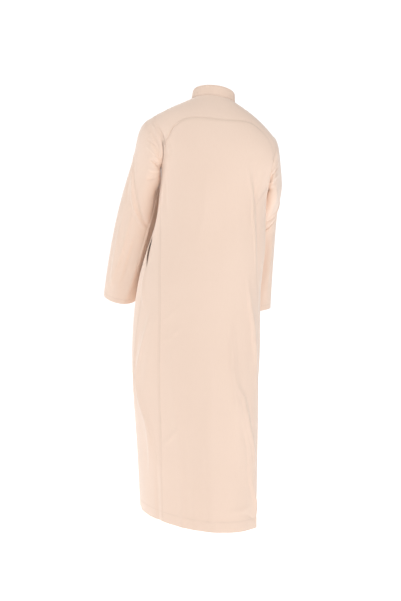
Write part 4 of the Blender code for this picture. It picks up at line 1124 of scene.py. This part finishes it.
def make_collar(look):
    """The band collar."""
    columns, crowd, rows = COLLAR_FINENESS
    angle = divided(360.0 + 2.0 * COLLAR_LAP, columns, crowd) - 90.0 - COLLAR_LAP
    angle, share = np.meshgrid(angle, np.linspace(0.0, 1.0, rows))
    points, normals = collar_place(angle, share)
    # Painted shade along the collar's seam and along its rows of stitches.
    shade = bell(share * COLLAR_HEIGHT, COLLAR_SHADE)
    width, strength = ROW_SHADE
    for _, row in COLLAR_ROWS:
        shade = np.maximum(shade, strength * bell(share * COLLAR_HEIGHT - row, width))
    return cloth_piece("robe_collar", points, normals, look, BAND - COLLAR_CLEAR, shade)


def make_placket(look):
    """The placket's strip."""
    columns, crowd, rows = PLACKET_FINENESS
    across, drop = np.meshgrid(divided(1.0, columns, crowd) - 0.5,
                               np.linspace(*PLACKET_DROPS, rows))
    degree = body_point(FRONT_CENTRE + 0.5, drop) - body_point(FRONT_CENTRE - 0.5, drop)
    angle = FRONT_CENTRE + across * PLACKET_WIDTH / np.linalg.norm(degree, axis=-1)
    points, normals = body.dressed(angle, drop)
    edge = PLACKET_WIDTH * (0.5 - np.abs(across))
    depth, width = PLACKET_GROOVE
    stitch = bell(edge - EDGE_STITCH, width)
    round_depth, round_width = PLACKET_EDGE
    lift = CLOTH + BAND_GAP - depth * stitch - round_depth * bell(edge, round_width)
    # Beside the stitch grooves the colour also carries painted shade.
    return cloth_piece("robe_placket", points + lift[..., None] * normals, normals, look, BAG,
                       ROW_SHADE[1] * stitch, grid_quads(*drop.shape)[:, ::-1])


def make_pocket(side, look):
    """A pocket bag behind its slit."""
    rows, columns = POCKET_FINENESS
    edge = seam("front_" + side, np.linspace(0.0, SEAM_ROWS, rows))
    top, bottom = POCKET_DROPS
    edge = edge[(edge[:, 1] > top + POCKET_MARGIN) & (edge[:, 1] < bottom - POCKET_MARGIN)]
    share = np.linspace(0.0, 1.0, columns)
    depth = np.clip((edge[:, 1] - top) / (bottom - top), *POCKET_ENDS)
    reach = POCKET_REACH * (POCKET_TAPER + (1.0 - POCKET_TAPER) * np.sin(np.pi * depth))
    span = -POCKET_LAP + share[None] * (reach[:, None] + POCKET_LAP)
    if side == "left":
        span = -span[:, ::-1]
    points, normals = body(edge[:, :1] + span, edge[:, 1:])
    points = points - (CLOTH + POCKET_CLEAR) * normals
    return cloth_piece("robe_pocket_" + side, points, normals, look, BAG)


# ---- stitches -----------------------------------------------------------------------------------
COLLAR_STITCH_POINTS = 240
COLLAR_STITCH_END = 2.0    # the collar's rows stop this far from its ends, in degrees
STITCH_PITCH = 0.0034
STITCH_LENGTH = 0.0026
THREAD = 0.00024
THREAD_SIDES = 5
THREAD_RINGS = np.linspace(-0.5, 0.5, 5)
THREAD_ARCH = THREAD * (0.9 - 7.0 * THREAD_RINGS ** 2)       # its ends dip into the cloth
THREAD_SIZES = THREAD * np.sqrt(np.clip(1.02 - 4.0 * THREAD_RINGS ** 2, 0.05, 1.0))


def thread_beads(name, points, normals, look):
    """Make a row of stitches along a line: short threads that arch over the cloth."""
    run = along(points)
    count = max(2, int(run[-1] / STITCH_PITCH))
    middles = (np.arange(count) + 0.5) * run[-1] / count
    where = middles[:, None] + THREAD_RINGS[None] * STITCH_LENGTH
    centre, up = (np.stack([np.interp(where, run, value[:, i]) for i in range(3)], axis=-1)
                  for value in (points, normals))
    up = unit(up)
    ahead = unit(centre[:, -1:] - centre[:, :1]) + 0.0 * centre
    across = unit(np.cross(ahead, up))
    cosine, sine = circle(360.0 / THREAD_SIDES * np.arange(THREAD_SIDES)[:, None])
    ring = cosine * across[:, :, None] + sine * up[:, :, None]
    centre = centre + THREAD_ARCH[:, None] * up
    vertices = centre[:, :, None] + THREAD_SIZES[:, None, None] * ring
    quads = grid_quads(len(THREAD_RINGS), THREAD_SIDES, closed=True)
    block = len(THREAD_RINGS) * THREAD_SIDES
    faces = (quads[None] + block * np.arange(count)[:, None, None]).reshape(-1, 4)
    return add_mesh(name, vertices.reshape(-1, 3), faces, look)


# ---- materials ----------------------------------------------------------------------------------
CLOTH_COLOUR = (0.875, 0.690, 0.572, 1.0)
# The darker colour of slubs and patches; darkened further, it is also the colour of the painted
# shade along seams.
CLOTH_DARK = (0.750, 0.550, 0.430, 1.0)
BAND_COLOUR = (0.870, 0.675, 0.552, 1.0)
BAG_COLOUR = (0.80, 0.65, 0.54, 1.0)
THREAD_COLOUR = (0.83, 0.67, 0.56, 1.0)
BUTTON_COLOUR = (0.80, 0.72, 0.62, 1.0)
WHITE = (1.0, 1.0, 1.0, 1.0)
CLOTH_SHADER = {"Roughness": 0.66, "Sheen Weight": 0.50, "Sheen Roughness": 0.45,
                "Sheen Tint": (1.0, 0.98, 0.96, 1.0), "Specular IOR Level": 0.40}
THREADS_PER_METRE = {"X": 1100.0, "Y": 1000.0}
WAVE_TURN = 6.2832         # the wave texture's scale counts radians
SLUB_STRETCH = (900.0, 45.0, 1.0)
SLUB_HEIGHT = 0.6          # beside the threads' own
PAINTED_SHADE_STRENGTH = 0.20           # how dark the painted shade along seams and stitches is


def feed(tree, made, sockets):
    """Set a node's sockets, or link them where the value is another node's output."""
    for key, value in sockets.items():
        if isinstance(value, bpy.types.NodeSocket):
            tree.links.new(value, made.inputs[key])
        else:
            made.inputs[key].default_value = value


def node(tree, kind, sockets, **values):
    """Add a node, set its properties, then feed its sockets."""
    made = tree.nodes.new(kind)
    for key, value in values.items():
        setattr(made, key, value)
    feed(tree, made, sockets)
    return made


def new_look(name, sockets):
    """Return a new material, its tree and its shader with some sockets set."""
    made = bpy.data.materials.new(name)
    made.use_nodes = True
    shader = made.node_tree.nodes["Principled BSDF"]
    feed(made.node_tree, shader, sockets)
    return made, made.node_tree, shader


def darker(colour, share):
    """Return a colour's share."""
    return tuple(share * value for value in colour[:3]) + (1.0,)


def mixed(tree, below, above, amount):
    """Mix one colour over another by an amount that changes over the surface."""
    sockets = {"A": below, "B": above, "Factor": amount}
    return node(tree, "ShaderNodeMix", sockets, data_type="RGBA").outputs["Result"]


def cloth_look(name, colour):
    """A fine plain weave: crossed threads, slubs down the cloth, random changes of colour and
    painted shade at seams.
    """
    made, tree, shader = new_look(name, CLOTH_SHADER)
    uv = node(tree, "ShaderNodeUVMap", {}, uv_map="weave").outputs["UV"]
    waves = [node(tree, "ShaderNodeTexWave",
                  {"Vector": uv, "Scale": threads / WAVE_TURN, "Distortion": 0.6,
                   "Detail": 1.0},
                  wave_type="BANDS", bands_direction=axis, wave_profile="SIN").outputs["Fac"]
             for axis, threads in THREADS_PER_METRE.items()]
    weave = node(tree, "ShaderNodeMath", dict(enumerate(waves)), operation="MULTIPLY")
    stretch = node(tree, "ShaderNodeMapping", {"Vector": uv, "Scale": SLUB_STRETCH})
    place = node(tree, "ShaderNodeTexCoord", {})
    slub, broad = (node(tree, "ShaderNodeTexNoise", sockets).outputs["Fac"] for sockets in (
        {"Vector": stretch.outputs["Vector"], "Scale": 1.0, "Detail": 2.0},
        {"Vector": place.outputs["Object"], "Scale": 5.0, "Detail": 3.0}))
    result = colour
    for noise, low, high, most in ((broad, 0.35, 0.75, 0.10), (slub, 0.45, 0.80, 0.16)):
        amount = node(tree, "ShaderNodeMapRange",
                      {"Value": noise, "From Min": low, "From Max": high, "To Max": most})
        result = mixed(tree, result, CLOTH_DARK, amount.outputs["Result"])
    # Painted shade: the cloth darkens along seams and stitches, where their grooves would be
    # shadowed.
    painted_shade = node(tree, "ShaderNodeAttribute", {}, attribute_name="painted_shade")
    sewn = node(tree, "ShaderNodeMath", {0: painted_shade.outputs["Fac"], 1: PAINTED_SHADE_STRENGTH},
                operation="MULTIPLY")
    result = mixed(tree, result, darker(CLOTH_DARK, 0.72), sewn.outputs["Value"])
    height = node(tree, "ShaderNodeMath", {0: slub, 1: SLUB_HEIGHT, 2: weave.outputs["Value"]},
                  operation="MULTIPLY_ADD")
    bump = node(tree, "ShaderNodeBump",
                {"Strength": 0.25, "Distance": 0.00025, "Height": height.outputs["Value"]})
    feed(tree, shader, {"Base Color": result, "Normal": bump.outputs["Normal"]})
    return made


def plain_look(name, colour, roughness, coat=0.0):
    """A smooth material with a faint mottle."""
    made, tree, shader = new_look(name, {"Roughness": roughness, "Coat Weight": coat})
    place = node(tree, "ShaderNodeTexCoord", {})
    noise = node(tree, "ShaderNodeTexNoise", {"Vector": place.outputs["Object"], "Scale": 180.0})
    result = mixed(tree, colour, darker(colour, 0.82), noise.outputs["Fac"])
    feed(tree, shader, {"Base Color": result})
    return made


# ---- the studio ---------------------------------------------------------------------------------
FLOOR = -1.575
FLOOR_HALF = 6.0
FLOOR_SHADER = {"Base Color": (0.93, 0.91, 0.91, 1.0), "Roughness": 0.9, "Emission Color": WHITE,
                "Emission Strength": 0.62}
CAMERA_AT = (0.042, 4.775, -0.195)
CAMERA_AIM = (0.042, 0.0, -0.680)
LENS = 84.6
SENSOR = 36.0
WORLD_COLOUR = (1.0, 0.99, 0.98, 1.0)
WORLD_LIGHT = 0.39
BACKDROP = 1.1             # strength of the white that the camera sees behind the floor
# Columns: name, at, target, size, power
LAMPS = (
    ("key", (1.2, 1.9, 4.5), (0.0, 0.0, -0.4), 1.6, 84.0),
    ("fill", (-2.9, 4.0, 0.6), (0.0, 0.0, -0.7), 2.6, 60.0),
    ("front", (0.6, -4.0, 1.4), (0.0, 0.0, -0.7), 3.0, 50.0),
    ("side", (4.2, -0.8, 0.6), (0.0, 0.0, -0.6), 1.0, 36.0),
)


def place_aimed(name, data, at, target):
    """Add a lamp or camera to the scene and point it at a target."""
    made = bpy.data.objects.new(name, data)
    bpy.context.scene.collection.objects.link(made)
    made.location = at
    direction = mathutils.Vector(target) - mathutils.Vector(at)
    made.rotation_mode = "QUATERNION"
    made.rotation_quaternion = direction.to_track_quat("-Z", "Y")
    return made


def make_world():
    """A soft surround, white where the camera looks past the floor."""
    world = bpy.data.worlds.new("studio")
    world.use_nodes = True
    tree = world.node_tree
    surround = tree.nodes["Background"]
    feed(tree, surround, {"Color": WORLD_COLOUR, "Strength": WORLD_LIGHT})
    white = node(tree, "ShaderNodeBackground", {"Color": WHITE, "Strength": BACKDROP})
    path = node(tree, "ShaderNodeLightPath", {})
    mix = node(tree, "ShaderNodeMixShader", {
        "Fac": path.outputs["Is Camera Ray"], 1: surround.outputs["Background"],
        2: white.outputs["Background"]})
    feed(tree, tree.nodes["World Output"], {"Surface": mix.outputs["Shader"]})
    return world


def make_studio():
    """A pale floor, soft light and the camera."""
    scene = bpy.context.scene
    scene.view_settings.view_transform = "Standard"
    corners = [(FLOOR_HALF * x, FLOOR_HALF * y, FLOOR)
               for x, y in ((-1, -1), (1, -1), (1, 1), (-1, 1))]
    floor = add_mesh("floor", corners, [(0, 1, 2, 3)], new_look("floor", FLOOR_SHADER)[0])
    scene.world = make_world()
    for name, at, target, size, power in LAMPS:
        lamp = bpy.data.lights.new(name, "AREA")
        lamp.shape = "SQUARE"
        lamp.size = size
        lamp.energy = power
        place_aimed(name, lamp, at, target)
    data = bpy.data.cameras.new("camera")
    data.lens = LENS
    data.sensor_width = SENSOR
    scene.camera = place_aimed("camera", data, CAMERA_AT, CAMERA_AIM)


def make_threads(look):
    """Make every row of stitches."""
    rows = {name: surface.dressed(*places.T)
            for name, (surface, places) in rows_of_stitches.items()}
    end = COLLAR_LAP - COLLAR_STITCH_END
    angle = np.linspace(-90.0 - end, 270.0 + end, COLLAR_STITCH_POINTS)
    for name, height in COLLAR_ROWS:
        rows[name] = collar_place(angle, np.full(len(angle), height / COLLAR_HEIGHT))
    return [thread_beads(name, points, normals, look) for name, (points, normals) in rows.items()]


def main():
    """Dress the robe."""
    lay_sewing()
    lay_creases()
    cloth = cloth_look("robe_cloth", CLOTH_COLOUR)
    band = cloth_look("band_cloth", BAND_COLOUR)
    bag = cloth_look("pocket_cloth", BAG_COLOUR)
    thread = plain_look("thread", THREAD_COLOUR, 0.6)
    horn = plain_look("button", BUTTON_COLOUR, 0.28, coat=0.3)
    back_grid = panel_grid("back", BACK_ROWS, BACK_COLUMNS)
    yoke_grid = [divided(end, count, crowd) for end, (count, crowd)
                 in zip((YOKE_ROWS, YOKE_COLUMNS), YOKE_FINENESS)]
    pieces = {
        "back": body_panel("robe_back", back_patch(*back_grid), cloth),
        "front": make_front(cloth),
        "yoke": body_panel("robe_yoke", yoke_patch(*yoke_grid), cloth),
        "collar": make_collar(band),
        "placket": make_placket(band),
    }
    for side in SIDES:
        places = gore_patch(side, *panel_grid("gore", SEAM_ROWS, GORE_COLUMNS))
        pieces["gore_" + side] = body_panel("robe_gore_" + side, places, cloth)
        pieces["sleeve_" + side] = make_sleeve(side, cloth)
        pieces["pocket_" + side] = make_pocket(side, bag)
    threads = make_threads(thread)
    for name, piece in pieces.items():
        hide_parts(name)
        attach(piece, "root")
    for piece in threads:
        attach(piece, "root")
    for name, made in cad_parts.items():
        if name.startswith("button"):
            for place in made.material_slots:
                place.material = horn
    make_studio()


main()
